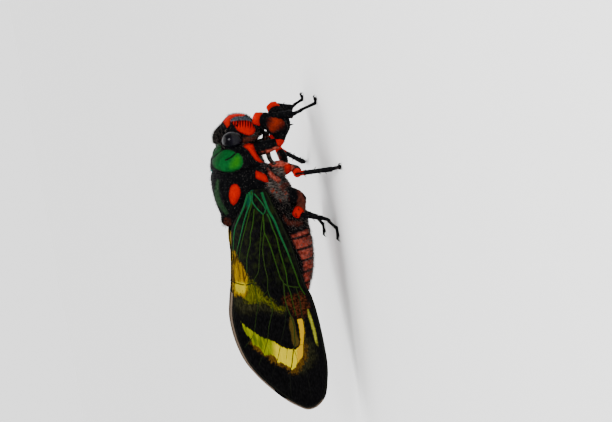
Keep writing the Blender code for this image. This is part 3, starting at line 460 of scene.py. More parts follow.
class Shader:
    """Short way to build a node material."""

    def __init__(self, name, roughness=0.5, **sockets):
        self.material = bpy.data.materials.new(name)
        self.material.use_nodes = True
        self.tree = self.material.node_tree
        self.surface = self.tree.nodes["Principled BSDF"]
        self.surface.inputs["Roughness"].default_value = roughness
        for key, value in sockets.items():
            self.surface.inputs[key.replace("_", " ")].default_value = value
        coordinates = self.tree.nodes.new("ShaderNodeTexCoord")
        self.place = coordinates.outputs["Object"]

    def link(self, source, target):
        """Feed a socket with another socket, a number, a stretch or a colour."""
        if isinstance(source, tuple) and target.type == "RGBA":
            source = (*source, 1.0)
        if isinstance(source, (int, float, tuple)):
            target.default_value = source
        else:
            self.tree.links.new(source, target)

    def node(self, kind, inputs=(), **settings):
        """Node of a kind with its settings, its inputs fed by name or number."""
        made = self.tree.nodes.new(kind)
        for key, value in settings.items():
            setattr(made, key, value)
        for key, source in dict(inputs).items():
            self.link(source, made.inputs[key])
        return made

    def value(self, key):
        """A named value stored on the mesh."""
        return self.node("ShaderNodeAttribute", attribute_name=key).outputs["Fac"]

    def math(self, operation, a, b):
        return self.node("ShaderNodeMath", {0: a, 1: b}, operation=operation).outputs[0]

    def noise(self, scale, detail=3.0, stretch=(1, 1, 1), rough=0.5):
        place = self.node("ShaderNodeMapping", {"Vector": self.place, "Scale": stretch}).outputs[0]
        inputs = {"Vector": place, "Scale": scale, "Detail": detail, "Roughness": rough}
        return self.node("ShaderNodeTexNoise", inputs).outputs["Fac"]

    def cells(self, scale):
        inputs = {"Vector": self.place, "Scale": scale}
        return self.node("ShaderNodeTexVoronoi", inputs).outputs["Distance"]

    def ramp(self, source, low, high):
        """Zero below low, one above high."""
        inputs = {"Value": source, "From Min": low, "From Max": high}
        return self.node("ShaderNodeMapRange", inputs, interpolation_type="SMOOTHSTEP").outputs[0]

    def mask(self, key, soft, ragged=0.0, scale=4000.0, detail=3.0):
        """Where a stored field is above zero, with a soft or ragged edge in mm."""
        level = self.value(key)
        if ragged:
            wave = self.math("SUBTRACT", self.noise(scale, detail), 0.5)
            level = self.math("ADD", level, self.math("MULTIPLY", wave, 2.0 * ragged))
        return self.ramp(level, -soft, soft)

    def mix(self, factor, a, b):
        """Colour a where the factor is 0 and b where it is 1."""
        made = self.node("ShaderNodeMix", data_type="RGBA")
        sockets = [s for s in made.inputs if s.type == "RGBA"]
        self.link(a, sockets[0])
        self.link(b, sockets[1])
        self.link(factor, made.inputs[0])
        return next(s for s in made.outputs if s.type == "RGBA")

    def colour(self, source):
        self.link(source, self.surface.inputs["Base Color"])

    def roughness(self, source, low, high):
        made = self.node("ShaderNodeMapRange", {"Value": source, "To Min": low, "To Max": high})
        self.link(made.outputs[0], self.surface.inputs["Roughness"])

    def bump(self, height, distance, strength=1.0, after=None):
        inputs = {"Height": height, "Distance": distance, "Strength": strength}
        if after is not None:
            inputs["Normal"] = after
        made = self.node("ShaderNodeBump", inputs)
        self.link(made.outputs[0], self.surface.inputs["Normal"])
        return made.outputs[0]


def chitin_material():
    """Black shell with red, green and brown marks, finely pitted."""
    s = Shader("chitin", 0.42, Specular_IOR_Level=0.004)
    tone = s.noise(900.0, 4.0)
    colour = s.mix(tone, (0.0006, 0.0006, 0.0009), (0.0044, 0.0044, 0.0052))
    # Pale specks on the black shell: painted glints
    glint_specks = s.ramp(s.noise(5200.0, 4.0), 0.56, 0.74)
    colour = s.mix(glint_specks, colour, (0.028, 0.027, 0.025))
    ribs = s.ramp(s.noise(4200.0, 4.0, (2.6, 0.45, 0.45)), 0.40, 0.66)
    lichen = s.mix(ribs, (0.006, 0.005, 0.005), (0.105, 0.088, 0.076))
    flush = s.mix(s.ramp(s.noise(1500.0, 3.0), 0.56, 0.66), lichen, (0.16, 0.022, 0.010))
    colour = s.mix(s.mask("grey", 0.3, 0.5, 2600.0), colour, flush)
    # Blue grey of the face's middle band: painted reflection over its dark shell
    band_reflection = s.mix(s.noise(4200.0, 4.0), (0.010, 0.013, 0.018), (0.070, 0.090, 0.11))
    colour = s.mix(s.mask("band_reflection", 0.12, 0.1), colour, band_reflection)
    brown = s.mix(s.noise(2500.0, 4.0), (0.014, 0.003, 0.002), (0.10, 0.024, 0.016))
    colour = s.mix(s.mask("brown", 0.2, 0.25, 2500.0), colour, brown)
    rust = s.mix(s.noise(1800.0, 3.0), (0.060, 0.004, 0.002), (0.30, 0.022, 0.006))
    colour = s.mix(s.mask("rust", 0.35, 0.15), colour, rust)
    pink = s.ramp(s.noise(2600.0, 4.0), 0.25, 0.75)
    pink = s.mix(pink, (0.120, 0.010, 0.006), (0.44, 0.080, 0.052))
    pink = s.mix(s.ramp(s.noise(600.0, 4.0), 0.56, 0.68), pink, (0.030, 0.006, 0.005))
    pink = s.mix(s.ramp(s.value("ring"), 0.55, 0.95), pink, (0.020, 0.004, 0.004))
    colour = s.mix(s.mask("pink", 0.2, 0.3, 2500.0), colour, pink)
    green = s.mix(s.noise(2300.0, 4.0), (0.0010, 0.014, 0.003), (0.0060, 0.105, 0.021))
    light = s.mix(s.noise(2300.0, 4.0), (0.004, 0.050, 0.003), (0.020, 0.165, 0.009))
    green = s.mix(s.ramp(s.value("light"), -3.6, -0.6), (0.0008, 0.0100, 0.0026), green)
    green = s.mix(s.mask("light", 0.45, 0.1), green, light)
    colour = s.mix(s.mask("green", 0.07, 0.05), colour, green)
    dusky = s.mix(s.noise(2700.0), (0.004, 0.012, 0.005), (0.017, 0.044, 0.018))
    colour = s.mix(s.mask("dusk", 0.14, 0.12), colour, dusky)
    red = s.mix(s.noise(1700.0, 3.0), (0.22, 0.0012, 0.0006), (0.50, 0.0045, 0.0012))
    edge = s.mix(0.5, red, (0.10, 0.006, 0.002))
    red = s.mix(s.ramp(s.value("red"), 0.02, 0.35), edge, red)
    red = s.mix(s.ramp(s.value("comb"), 0.0, 0.7), red, (0.008, 0.001, 0.001))
    colour = s.mix(s.mask("red", 0.06, 0.07), colour, red)
    colour = s.mix(s.mask("dot", 0.06), colour, (0.012, 0.26, 0.20))
    silver = s.mix(s.noise(6000.0), (0.05, 0.042, 0.038), (0.20, 0.17, 0.15))
    colour = s.mix(s.mask("pale", 0.1), colour, silver)
    s.colour(colour)
    s.roughness(s.noise(2600.0, 3.0), 0.30, 0.55)
    fine = s.bump(s.noise(9000.0, 3.0), 0.00003, 0.6)
    s.bump(s.cells(5200.0), 0.00004, 0.45, after=fine)
    return s.material


def eye_material():
    """Black compound eye, glossy and finely faceted, with a violet grey sheen painted into its
    colour in soft clouds.
    """
    s = Shader("eye_lens", 0.12, Specular_IOR_Level=0.10)
    # Painted sheen: violet grey clouds in the eye's colour stand in for its reflection
    painted_sheen = s.ramp(s.noise(700.0, 2.0), 0.40, 0.75)
    s.colour(s.mix(painted_sheen, (0.0012, 0.0010, 0.0018), (0.0050, 0.0042, 0.0078)))
    s.bump(s.cells(11000.0), 0.00003, 0.16)
    return s.material


# Body skin, from the same sections as the solids: top x and z, bottom x and z, half width,
# roundness above and below
SKIN_SIDES = 120
HEAD_SECTIONS = (
    (14.6, 13.0, 14.6, 8.9, 2.9, 2.2, 2.1), (15.3, 13.45, 15.3, 8.2, 3.45, 2.4, 2.2),
    (16.2, 13.55, 15.9, 7.7, 3.7, 2.4, 2.0), (17.15, 13.2, 16.55, 7.6, 3.45, 2.2, 2.0),
    (18.05, 12.6, 17.45, 8.0, 2.9, 2.1, 2.0), (18.75, 11.9, 18.35, 8.6, 2.2, 2.0, 2.0),
    (19.1, 11.3, 18.88, 9.2, 1.3, 2.0, 2.0)
)
HEAD_TIP = (19.22, 10.3)
PRONOTUM_SECTIONS = (
    (15.2, 13.2, 15.2, 9.0, 3.3, 2.4, 2.1),
    (15.13, 13.7, 15.13, 8.75, 3.7, 2.4, 2.1), (14.75, 14.1, 14.75, 8.45, 4.15, 2.4, 2.2),
    (13.8, 14.55, 13.8, 8.15, 4.5, 2.3, 2.2), (13.0, 14.8, 13.0, 7.95, 4.68, 2.3, 2.2),
    (12.4, 14.95, 12.4, 7.8, 4.8, 2.3, 2.2), (12.1, 14.9, 12.1, 7.75, 4.72, 2.3, 2.2),
    (11.95, 14.6, 11.95, 7.95, 4.4, 2.3, 2.2)
)
THORAX_SECTIONS = (
    (12.3, 14.3, 12.3, 8.0, 4.0, 2.3, 2.2), (11.9, 14.8, 11.9, 7.5, 4.35, 2.3, 2.2),
    (11.2, 15.05, 11.2, 6.85, 4.55, 2.3, 2.2), (10.0, 15.15, 10.2, 5.65, 4.56, 2.2, 2.2),
    (8.6, 15.1, 9.0, 4.95, 4.45, 2.1, 2.2), (7.3, 14.9, 7.9, 4.55, 4.25, 1.8, 2.2),
    (6.0, 14.6, 6.9, 4.35, 4.1, 1.5, 2.2), (5.0, 14.3, 6.1, 4.35, 3.95, 1.25, 2.2),
    (4.35, 14.0, 5.3, 4.5, 3.7, 1.1, 2.2)
)
ABDOMEN_SHAPE = (
    (5.6, 11.4, 3.6, 3.7), (4.7, 11.6, 3.4, 3.9), (1.0, 11.6, 3.15, 4.15),
    (-0.7, 11.2, 3.2, 4.0), (-2.9, 10.4, 3.55, 3.5), (-4.5, 9.6, 4.1, 2.9), (-5.6, 9.0, 4.55, 2.35),
    (-7.0, 8.1, 5.25, 1.45), (-8.0, 7.3, 5.9, 0.75)
)
ABDOMEN_SEGMENTS = 8
ABDOMEN_FRONT = 4.8
ABDOMEN_REAR = -7.9
ABDOMEN_TIP = (-8.6, 6.4)
# Swelling of a segment from its front to its rear
SEGMENT_PROFILE = (
    (0.0, -0.02), (0.1, 0.0), (0.3, 0.05), (0.55, 0.1), (0.75, 0.13), (0.86, 0.14),
    (0.93, 0.11), (0.97, 0.02)
)
VOXEL = 0.09


def ring_points(row, under_wings=False, sides=SKIN_SIDES):
    """Ring of points round the body from one section row."""
    top_x, top_z, low_x, low_z, half, up, down = row
    angle = 2 * np.pi * (np.arange(sides) + 0.5) / sides
    c, s = np.cos(angle), np.sin(angle)
    power = np.where(s > 0, up, down)
    across = np.sign(c) * np.abs(c) ** (2 / power)
    share = 0.5 + 0.5 * np.sign(s) * np.abs(s) ** (2 / power)
    x, z = low_x + (top_x - low_x) * share, low_z + (top_z - low_z) * share
    points = np.stack([x, half * across, z], 1)
    return inside_wings(points) if under_wings else points


def closed_loft(rings, first=None, last=None):
    """Points and faces of a closed loft, with a tip or a middle point at each end."""
    sides = len(rings[0])
    points = np.concatenate(rings)
    ends = [rings[0].mean(0) if first is None else np.array(first, float),
            rings[-1].mean(0) if last is None else np.array(last, float)]
    faces = [tuple(f) for f in grid_faces(len(rings), sides)]
    base = len(points)
    points = np.concatenate([points, ends])
    tail = (len(rings) - 1) * sides
    for i in range(sides):
        j = (i + 1) % sides
        faces.append((j, i, base))
        faces.append((tail + i, tail + j, base + 1))
    return points, faces


def dense_rows(table, per_gap=8):
    """Section rows between the given ones, on smooth curves."""
    filled = []
    pts = np.array(table, float)
    for k in range(len(pts) - 1):
        a, b = pts[k], pts[k + 1]
        before = pts[k - 1] if k else a
        after = pts[k + 2] if k + 2 < len(pts) else b
        filled += [curve(a, b, before, after, i / per_gap) for i in range(per_gap)]
    filled.append(pts[-1])
    return filled


def face_bulge_loft():
    """Swollen face with nine grooves on each side of a smooth middle band."""
    upper, lower = np.array((18.55, 0, 12.0)), np.array((16.62, 0, 7.35))
    along = unit(lower - upper)
    out = np.array((-along[2], 0, along[0]))
    out = out * (1 if out[0] > 0 else -1)
    grooves, steps, sides = 10, 120, 96
    angle = 2 * np.pi * np.arange(sides) / sides
    rings = []
    for k in range(1, steps):
        t = k / steps
        swell = math.sin(math.pi * t) ** 0.55
        centre = upper + (lower - upper) * t - out * 0.4
        wave = 0.5 - 0.5 * math.cos(2 * math.pi * grooves * t)
        depth = 0.16 * (1 - wave) ** 2 * np.clip(2.2 * np.abs(np.cos(angle)) - 0.75, 0, 1) * swell
        rings.append(centre + np.outer(np.cos(angle) * (1.78 * swell - depth), (0, 1, 0))
                     + np.outer(np.sin(angle) * (1.27 * swell - depth), out))
    return closed_loft(rings, upper - out * 0.4, lower - out * 0.4)


def ball(centre, radii, segments=24, rings=14):
    """Points and faces of an ellipsoid."""
    angle = 2 * np.pi * np.arange(segments) / segments
    loops = []
    for k in range(1, rings):
        t = math.pi * k / rings
        loops.append(np.array(centre) + np.stack([radii[0] * np.cos(angle) * math.sin(t),
                                                  radii[1] * np.sin(angle) * math.sin(t),
                                                  np.full(segments, radii[2] * math.cos(t))], 1))
    low = np.array(centre, float) - (0, 0, radii[2])
    high = np.array(centre, float) + (0, 0, radii[2])
    points, faces = closed_loft(loops, high, low)
    return points, [tuple(reversed(f)) for f in faces]


def limb_loft(path, radii, sides=24, flat=1.0, steps=6, pointed=False, ridges=(0, 0.0)):
    """Points, faces and share of length of a tapered limb on a smooth path."""
    rows = np.concatenate([np.array(path, float), np.array(radii, float)[:, None]], 1)
    rows = np.array(dense_rows(rows, steps))
    centres, widths = rows[:, :3], rows[:, 3]
    ways = np.gradient(centres, axis=0)
    ways = unit(ways)
    span = np.linspace(0, 1, len(widths))
    widths = widths * (1 + ridges[1] * np.cos(2 * np.pi * ridges[0] * span))
    turns = np.linspace(0, math.pi / 2, 6)[1:-1]
    cap = np.sin(turns)[:, None] * 0.5
    front = centres[0] - ways[0] * widths[0] * cap[::-1]
    centres = np.concatenate([front, centres])
    widths = np.concatenate([widths[0] * np.cos(turns[::-1]), widths])
    ways = np.concatenate([np.repeat(ways[:1], len(turns), 0), ways])
    if not pointed:
        back = centres[-1] + ways[-1] * widths[-1] * cap
        centres = np.concatenate([centres, back])
        widths = np.concatenate([widths, widths[-1] * np.cos(turns)])
        ways = np.concatenate([ways, np.repeat(ways[-1:], len(turns), 0)])
    side = np.cross(ways[0], (0.0, 0.0, 1.0))
    if np.linalg.norm(side) < 0.2:
        side = np.cross(ways[0], (1.0, 0.0, 0.0))
    angle = 2 * np.pi * np.arange(sides) / sides
    rings = []
    for centre, way, width in zip(centres, ways, widths):
        side = side - way * (side @ way)
        side = unit(side)
        other = np.cross(way, side)
        offset = width * (np.outer(np.cos(angle), side) + np.outer(np.sin(angle), other))
        offset[:, 1] *= flat
        rings.append(centre + offset)
    points, faces = closed_loft(rings, centres[0] - ways[0] * 0.02, centres[-1] + ways[-1] * 0.02)
    share = np.concatenate([np.repeat(np.linspace(0, 1, len(rings)), sides), [0, 1]])
    return points, faces, share


def joined(parts):
    """Points and faces of several lofts together."""
    points, faces, start = [], [], 0
    for part in parts:
        points.append(part[0])
        faces.extend(tuple(i + start for i in f) for f in part[1])
        start += len(part[0])
    return np.concatenate(points), faces


def remeshed(name, points, faces, voxel, smoothing=6):
    """One closed skin over overlapping closed forms."""
    made = add_mesh(name, points, faces)
    face_outward(made.data)
    remesh = made.modifiers.new("remesh", "REMESH")
    remesh.mode = "VOXEL"
    remesh.voxel_size = voxel * MM
    relax = made.modifiers.new("relax", "SMOOTH")
    relax.factor = 0.5
    relax.iterations = smoothing
    evaluated = made.evaluated_get(bpy.context.evaluated_depsgraph_get())
    mesh = bpy.data.meshes.new_from_object(evaluated)
    made.modifiers.clear()
    made.data = mesh
    mesh.shade_smooth()
    return made


def abdomen_rings():
    """Rings of the abdomen, each segment overlapping the next like a tile."""
    tables = [tuple((row[0], row[k]) for row in reversed(ABDOMEN_SHAPE)) for k in (1, 2, 3)]
    length = (ABDOMEN_FRONT - ABDOMEN_REAR) / ABDOMEN_SEGMENTS
    rings = [ring_points((5.6, 11.2, 5.6, 3.7, 3.6, 2.0, 2.2), True)]
    for k in range(ABDOMEN_SEGMENTS):
        for share, swell in SEGMENT_PROFILE:
            x = ABDOMEN_FRONT - (k + share) * length
            top, low, half = (float(value_at(table, x)) for table in tables)
            row = (x, top + swell * 0.5, x, low - swell * 0.5, half + swell, 2.0, 2.2)
            rings.append(ring_points(row, True))
    return rings


def build_skin():
    """One skin over head, collar, thorax and abdomen."""
    head = [ring_points(r) for r in dense_rows(HEAD_SECTIONS)]
    head = closed_loft(head, None, (HEAD_TIP[0], 0, HEAD_TIP[1]))
    collar = closed_loft([ring_points(r) for r in dense_rows(PRONOTUM_SECTIONS)])
    thorax = closed_loft([ring_points(r, True) for r in dense_rows(THORAX_SECTIONS)])
    abdomen = closed_loft(abdomen_rings(), None, (ABDOMEN_TIP[0], 0, ABDOMEN_TIP[1]))
    parts = [head, collar, thorax, abdomen, face_bulge_loft()]
    for x, y, z in ((17.65, 0, 12.85), (16.7, 0.62, 13.35), (16.7, -0.62, 13.35)):
        parts.append(ball((x, y, z), (0.26, 0.26, 0.24)))
    for side in (1, -1):
        parts.append(limb_loft(((17.0, side * 1.9, 11.3), (17.5, side * 2.5, 11.0)), (0.5, 0.4)))
        for x, y, z in ((6.6, 0.95, 14.3), (4.55, 0.22, 13.9)):
            parts.append(limb_loft(((5.2, 0, 14.3), (x, side * y, z)), (0.4, 0.22)))
    parts.append(limb_loft(((17.0, 0, 8.3), (16.15, 0, 7.3)), (0.77, 0.57)))
    skin = remeshed("body_skin", *joined(parts), VOXEL)
    points, normals = design_points(skin), point_normals(skin)
    points = carve(points, normals)
    set_points(skin, points)
    for key, values in body_marks(points).items():
        set_field(skin, key, values)
    return skin


# Sutures of the shell: line on the chart, half width and depth in mm
GROOVES = (
    (LOBE_GROOVE, 0.16, 0.13),
    (((211, 159), (216, 155), (221, 151), (226, 149), (234, 150), (241, 153)), 0.16, 0.10),
    (((244, 150), (246, 160), (243, 169), (236, 174), (224, 174), (212, 170)), 0.2, 0.12),
    (((250, 166), (243, 178), (241, 187)), 0.18, 0.10),
    (((252, 168), (256, 183), (268, 186)), 0.18, 0.12),
    (((268, 172), (269, 184), (266, 194)), 0.16, 0.12),
    (((225, 176), (223, 188), (226, 200), (230, 210)), 0.18, 0.07),
)
# Marks that stand out: outline, height and width of the slope in mm
LIFTS = ((LOBE, 0.16, 0.55), (OVAL_SPOT, 0.10, 0.4),
         (COLLAR_STRIPE, 0.12, 0.25), (SIDE_PATCH, 0.12, 0.3))
# First of the dark stripes of the face and the step between them, in photo pixels
FACE_STRIPE = 237.6
FACE_STEP = 2.62
# The face lies ahead of this x
FACE_REAR = 15.6


def groove(places, line, half, depth):
    """Depth of a smooth groove along a line on the chart."""
    away = line_distance(places, np.array(line, float)) * MM_PER_PIXEL
    return depth * np.exp(-(away / half) ** 2)


def face_wave(here):
    """Wave that is highest in the middle of each dark stripe of the face."""
    return np.cos(2 * np.pi * (here[:, 0] - FACE_STRIPE) / FACE_STEP)


def carve(points, normals):
    """Sutures and dents of the shell."""
    here = chart(points)
    across = np.abs(points[:, 1])
    depth = sum(groove(here, *row) for row in GROOVES)
    front = np.clip(field(here, FACE_RED) / 0.3 + 1.6, 0, 1) * (points[:, 0] > FACE_REAR)
    depth += 0.05 * front * (across > 0.45) * (0.5 + 0.5 * face_wave(here)) ** 2
    folds = np.clip(field(here, VENTER) / 0.4 + 0.6, 0, 1)
    depth += 0.05 * folds * (0.5 + 0.5 * np.cos(2 * np.pi * here[:, 1] / 2.6))
    on_back = (points[:, 0] > 6.0) & (points[:, 0] < 15.0) & (points[:, 2] > 13.0)
    depth += np.where(on_back, 0.05 * np.exp(-(across / 0.14) ** 2), 0)
    lift = sum(high * np.clip(field(here, loop) / slope, 0, 1) for loop, high, slope in LIFTS)
    return points + normals * (lift - depth)[:, None]


COLOURS = ("red", "green", "light", "dusk", "dot", "brown", "rust", "grey", "band_reflection", "pink", "pale",
           "comb", "ring")


def no_marks(count):
    """Fields of a piece with no marks."""
    return {key: np.full(count, -1.0) for key in COLOURS}


def most(here, *loops):
    """Field that is above zero inside any of several outlines."""
    return np.maximum.reduce([field(here, loop) for loop in loops])


def body_marks(points):
    """Fields of the body's colours, above zero where a colour lies."""
    here = chart(points)
    across = np.abs(points[:, 1])
    marks = no_marks(len(points))
    ahead = points[:, 0] > FACE_REAR
    face = np.where(ahead & (across > 0.5), field(here, FACE_RED), -1.0)
    rim = np.where(ahead & (across > 0.35), field(chart(points, far=True), FACE_RIM), -1.0)
    marks["red"] = np.maximum.reduce([face, rim, most(here, OVAL_SPOT, COLLAR_STRIPE, SIDE_PATCH)])
    wave = face_wave(here)
    marks["comb"] = np.where(face > rim, wave - np.clip((here[:, 1] - 126.0) / 4.0, -0.4, 3), -1.0)
    rings = 2 * np.pi * (points[:, 0] - ABDOMEN_FRONT) * ABDOMEN_SEGMENTS
    rings = np.cos(rings / (ABDOMEN_FRONT - ABDOMEN_REAR))
    marks["ring"] = np.where(points[:, 0] < 4.6, rings, -1.0)
    marks["band_reflection"] = np.where(ahead, field(here, FACE_BAND), -1.0)
    groove = -stripe(here, LOBE_GROOVE, 0.1)
    marks["green"] = np.maximum(np.minimum(field(here, LOBE), groove), field(here, UPPER_GREEN))
    marks["light"] = field(here, LOBE_LIGHT)
    marks["dusk"] = field(here, BACK_STRIPE)
    marks["dot"] = 0.3 - np.linalg.norm(points - DOT_CENTRE, axis=1)
    marks["brown"] = most(here, BACK_TIP, FLAP, CHEEK, KNEE_SHADE)
    cheek = np.where(ahead, field(here, CHEEK_SILVER), -1.0)
    marks["grey"] = np.maximum(field(here, VENTER), cheek)
    spot = field(here, VERTEX_SPOT) + 0.16
    marks["pink"] = np.maximum.reduce([field(here, BELLY) + 0.1, field(here, SIDE_STREAK), spot])
    return marks


# Wings

# Thickening of the veins, depth of the puckers between them, and steps for slopes, in mm
VEIN_SCALE = 1.08
PUCKER = 0.04
STEP_UP = (0, 0.05)
STEP_ALONG = (0.05, 0)


def wing_points(outline, step):
    """Flat points and triangles of a membrane."""
    border = smooth_line(outline, step, closed=True)
    rim = np.concatenate([border, border[:1]])
    low, high = border.min(0), border.max(0)
    rows = []
    for k in range(int((high[1] - low[1]) / (step * 0.87)) + 1):
        count = int((high[0] - low[0]) / step) + 1
        xs = low[0] + (np.arange(count) + 0.5 * (k % 2)) * step
        rows.append(np.stack([xs, np.full(count, low[1] + k * step * 0.87)], 1))
    fill = np.concatenate(rows)
    fill = fill[inside_loop(fill, border)]
    fill = fill[line_distance(fill, rim) > 0.55 * step]
    points = [Vector(p) for p in np.concatenate([border, fill])]
    flat, _, faces, *_ = delaunay_2d_cdt(points, [], [list(range(len(border)))], 1, 1e-5)
    return np.array([tuple(p) for p in flat]), [tuple(f) for f in faces]


def wing_surface(flat, side, inset, bulge=None):
    """Places in space of flat wing points."""
    x, z = flat[:, 0], flat[:, 1]
    y = under_wing(x, z, inset) if inset else wing_half(x, z)
    if bulge is not None:
        y = y + bulge
    return np.stack([x, side * y, z], 1)


def wing_lean(flat, step, side, inset):
    """Direction in which the wing's surface runs for a small step on the flat wing."""
    return wing_surface(flat + step, side, inset) - wing_surface(flat - step, side, inset)


def vein_tube(line, thick, side, inset, sides=8):
    """Raised tapering vein that follows the membrane."""
    flat = smooth_line(line, 0.3)
    share = np.linspace(0, 1, len(flat))
    radius = VEIN_SCALE * (thick[0] + (thick[1] - thick[0]) * share)
    centres = wing_surface(flat, side, inset)
    ways = np.gradient(centres, axis=0)
    ways = unit(ways)
    lift = wing_lean(flat, np.array(STEP_UP), side, inset)
    out = np.cross(ways, np.cross(lift, ways))
    across = unit(out)
    normal = np.cross(ways, across)
    angle = 2 * np.pi * np.arange(sides) / sides
    rings = []
    for c, a, n, r in zip(centres, across, normal, radius):
        rings.append(c + r * np.outer(np.cos(angle), a) + 0.9 * r * np.outer(np.sin(angle), n))
    points, faces = closed_loft(rings)
    return points, faces


def build_wing(name, side, outline, veins, inset, half=0.05):
    """Thin puckered membrane with its veins standing out on both faces."""
    step = 0.4 if inset else 0.28
    lines = [smooth_line(v[4], 0.4) for v in veins.values()]
    flat, faces = wing_points(outline, step)
    near = np.minimum.reduce([line_distance(flat, line) for line in lines])
    rim = smooth_line(outline, step, closed=True)
    edge = line_distance(flat, np.concatenate([rim, rim[:1]]))
    pucker = PUCKER * (1 - np.exp(-near / 0.35)) * np.clip(edge / 0.6, 0, 1)
    centre = wing_surface(flat, side, inset, pucker)
    slope = wing_lean(flat, np.array(STEP_UP), side, inset)
    run = wing_lean(flat, np.array(STEP_ALONG), side, inset)
    normal = np.cross(slope, run)
    normal = unit(normal)
    normal *= np.sign(normal[:, 1:2]) * side
    count = len(flat)
    points = [centre + normal * half, centre - normal * half]
    order = [tuple(f) for f in faces] + [tuple(i + count for i in reversed(f)) for f in faces]
    for i in range(len(rim)):
        j = (i + 1) % len(rim)
        order.append((i, j, j + count))
        order.append((i, j + count, i + count))
    fields = wing_marks(centre, edge)
    fields = {key: [v, v] for key, v in fields.items()}
    fields["vein"] = [np.zeros(2 * count)]
    fields["lush"] = [np.zeros(2 * count)]
    start = 2 * count
    for thick_a, thick_b, green_a, green_b, line in veins.values():
        tube, sides = vein_tube(line, (thick_a, thick_b), side, inset)
        points.append(tube)
        order.extend(tuple(i + start for i in f) for f in sides)
        start += len(tube)
        own = wing_marks(tube, np.full(len(tube), 2.0))
        fade = np.clip((tube[:, 0] + 15.0) / 21.0, 0, 1)
        own["vein"] = np.ones(len(tube))
        own["lush"] = green_b * 0.6 + (green_a - green_b * 0.6) * fade
        own["lush"] = np.where(tube[:, 0] < -15.5, 0.0, own["lush"])
        for key, values in own.items():
            fields[key].append(values)
    fields = {key: np.concatenate(parts) for key, parts in fields.items()}
    made = add_mesh(name, np.concatenate(points), order, fields)
    face_outward(made.data)
    return made


# Photo pixels at which colours change: the band turns from lime to cream and to its bright bar,
# the membrane loses its green smoke, and its rim is pale
LIME_TO = 274.0
BAR_FROM = 297.0
CLEAR_TO = 285.0
RIM_LEFT_OF, RIM_BELOW, RIM_END = 275, 292, 398

WING_FIELDS = {"band": BAND, "gold": GOLD, "glow": GLOW, "fringe": FRINGE, "olive": OLIVE,
               "maroon": MAROON, "amber": AMBER, "pale": PALE, "root_glint": ROOT_GLINT}

# Kind, slot, outline, veins and depth inside the forewing
WINGS = (("forewing", "wing", FOREWING_OUTLINE, FOREWING_VEINS, 0.0),
         ("hindwing", "hindwing", HINDWING_OUTLINE, HINDWING_VEINS, HINDWING_INSET))


def wing_marks(points, edge):
    """Fields of the forewing's colours, above zero where a colour lies."""
    here = chart(points)
    marks = {key: field(here, loop) for key, loop in WING_FIELDS.items()}
    pale_rim = (here[:, 0] < RIM_LEFT_OF) & (here[:, 1] > RIM_BELOW) | (here[:, 1] > RIM_END)
    marks["lime"] = (LIME_TO - here[:, 0]) * MM_PER_PIXEL
    marks["bar"] = np.minimum(marks["band"], (here[:, 0] - BAR_FROM) * 0.1)
    marks["smoke"] = np.maximum(field(here, SMOKE), field(here, HAZE))
    marks["clear"] = (CLEAR_TO - here[:, 1]) * MM_PER_PIXEL
    marks["hem"] = stripe(here, HEM, 0.12)
    marks["rim"] = np.where(pale_rim, 0.2 - edge, -1.0)
    return marks


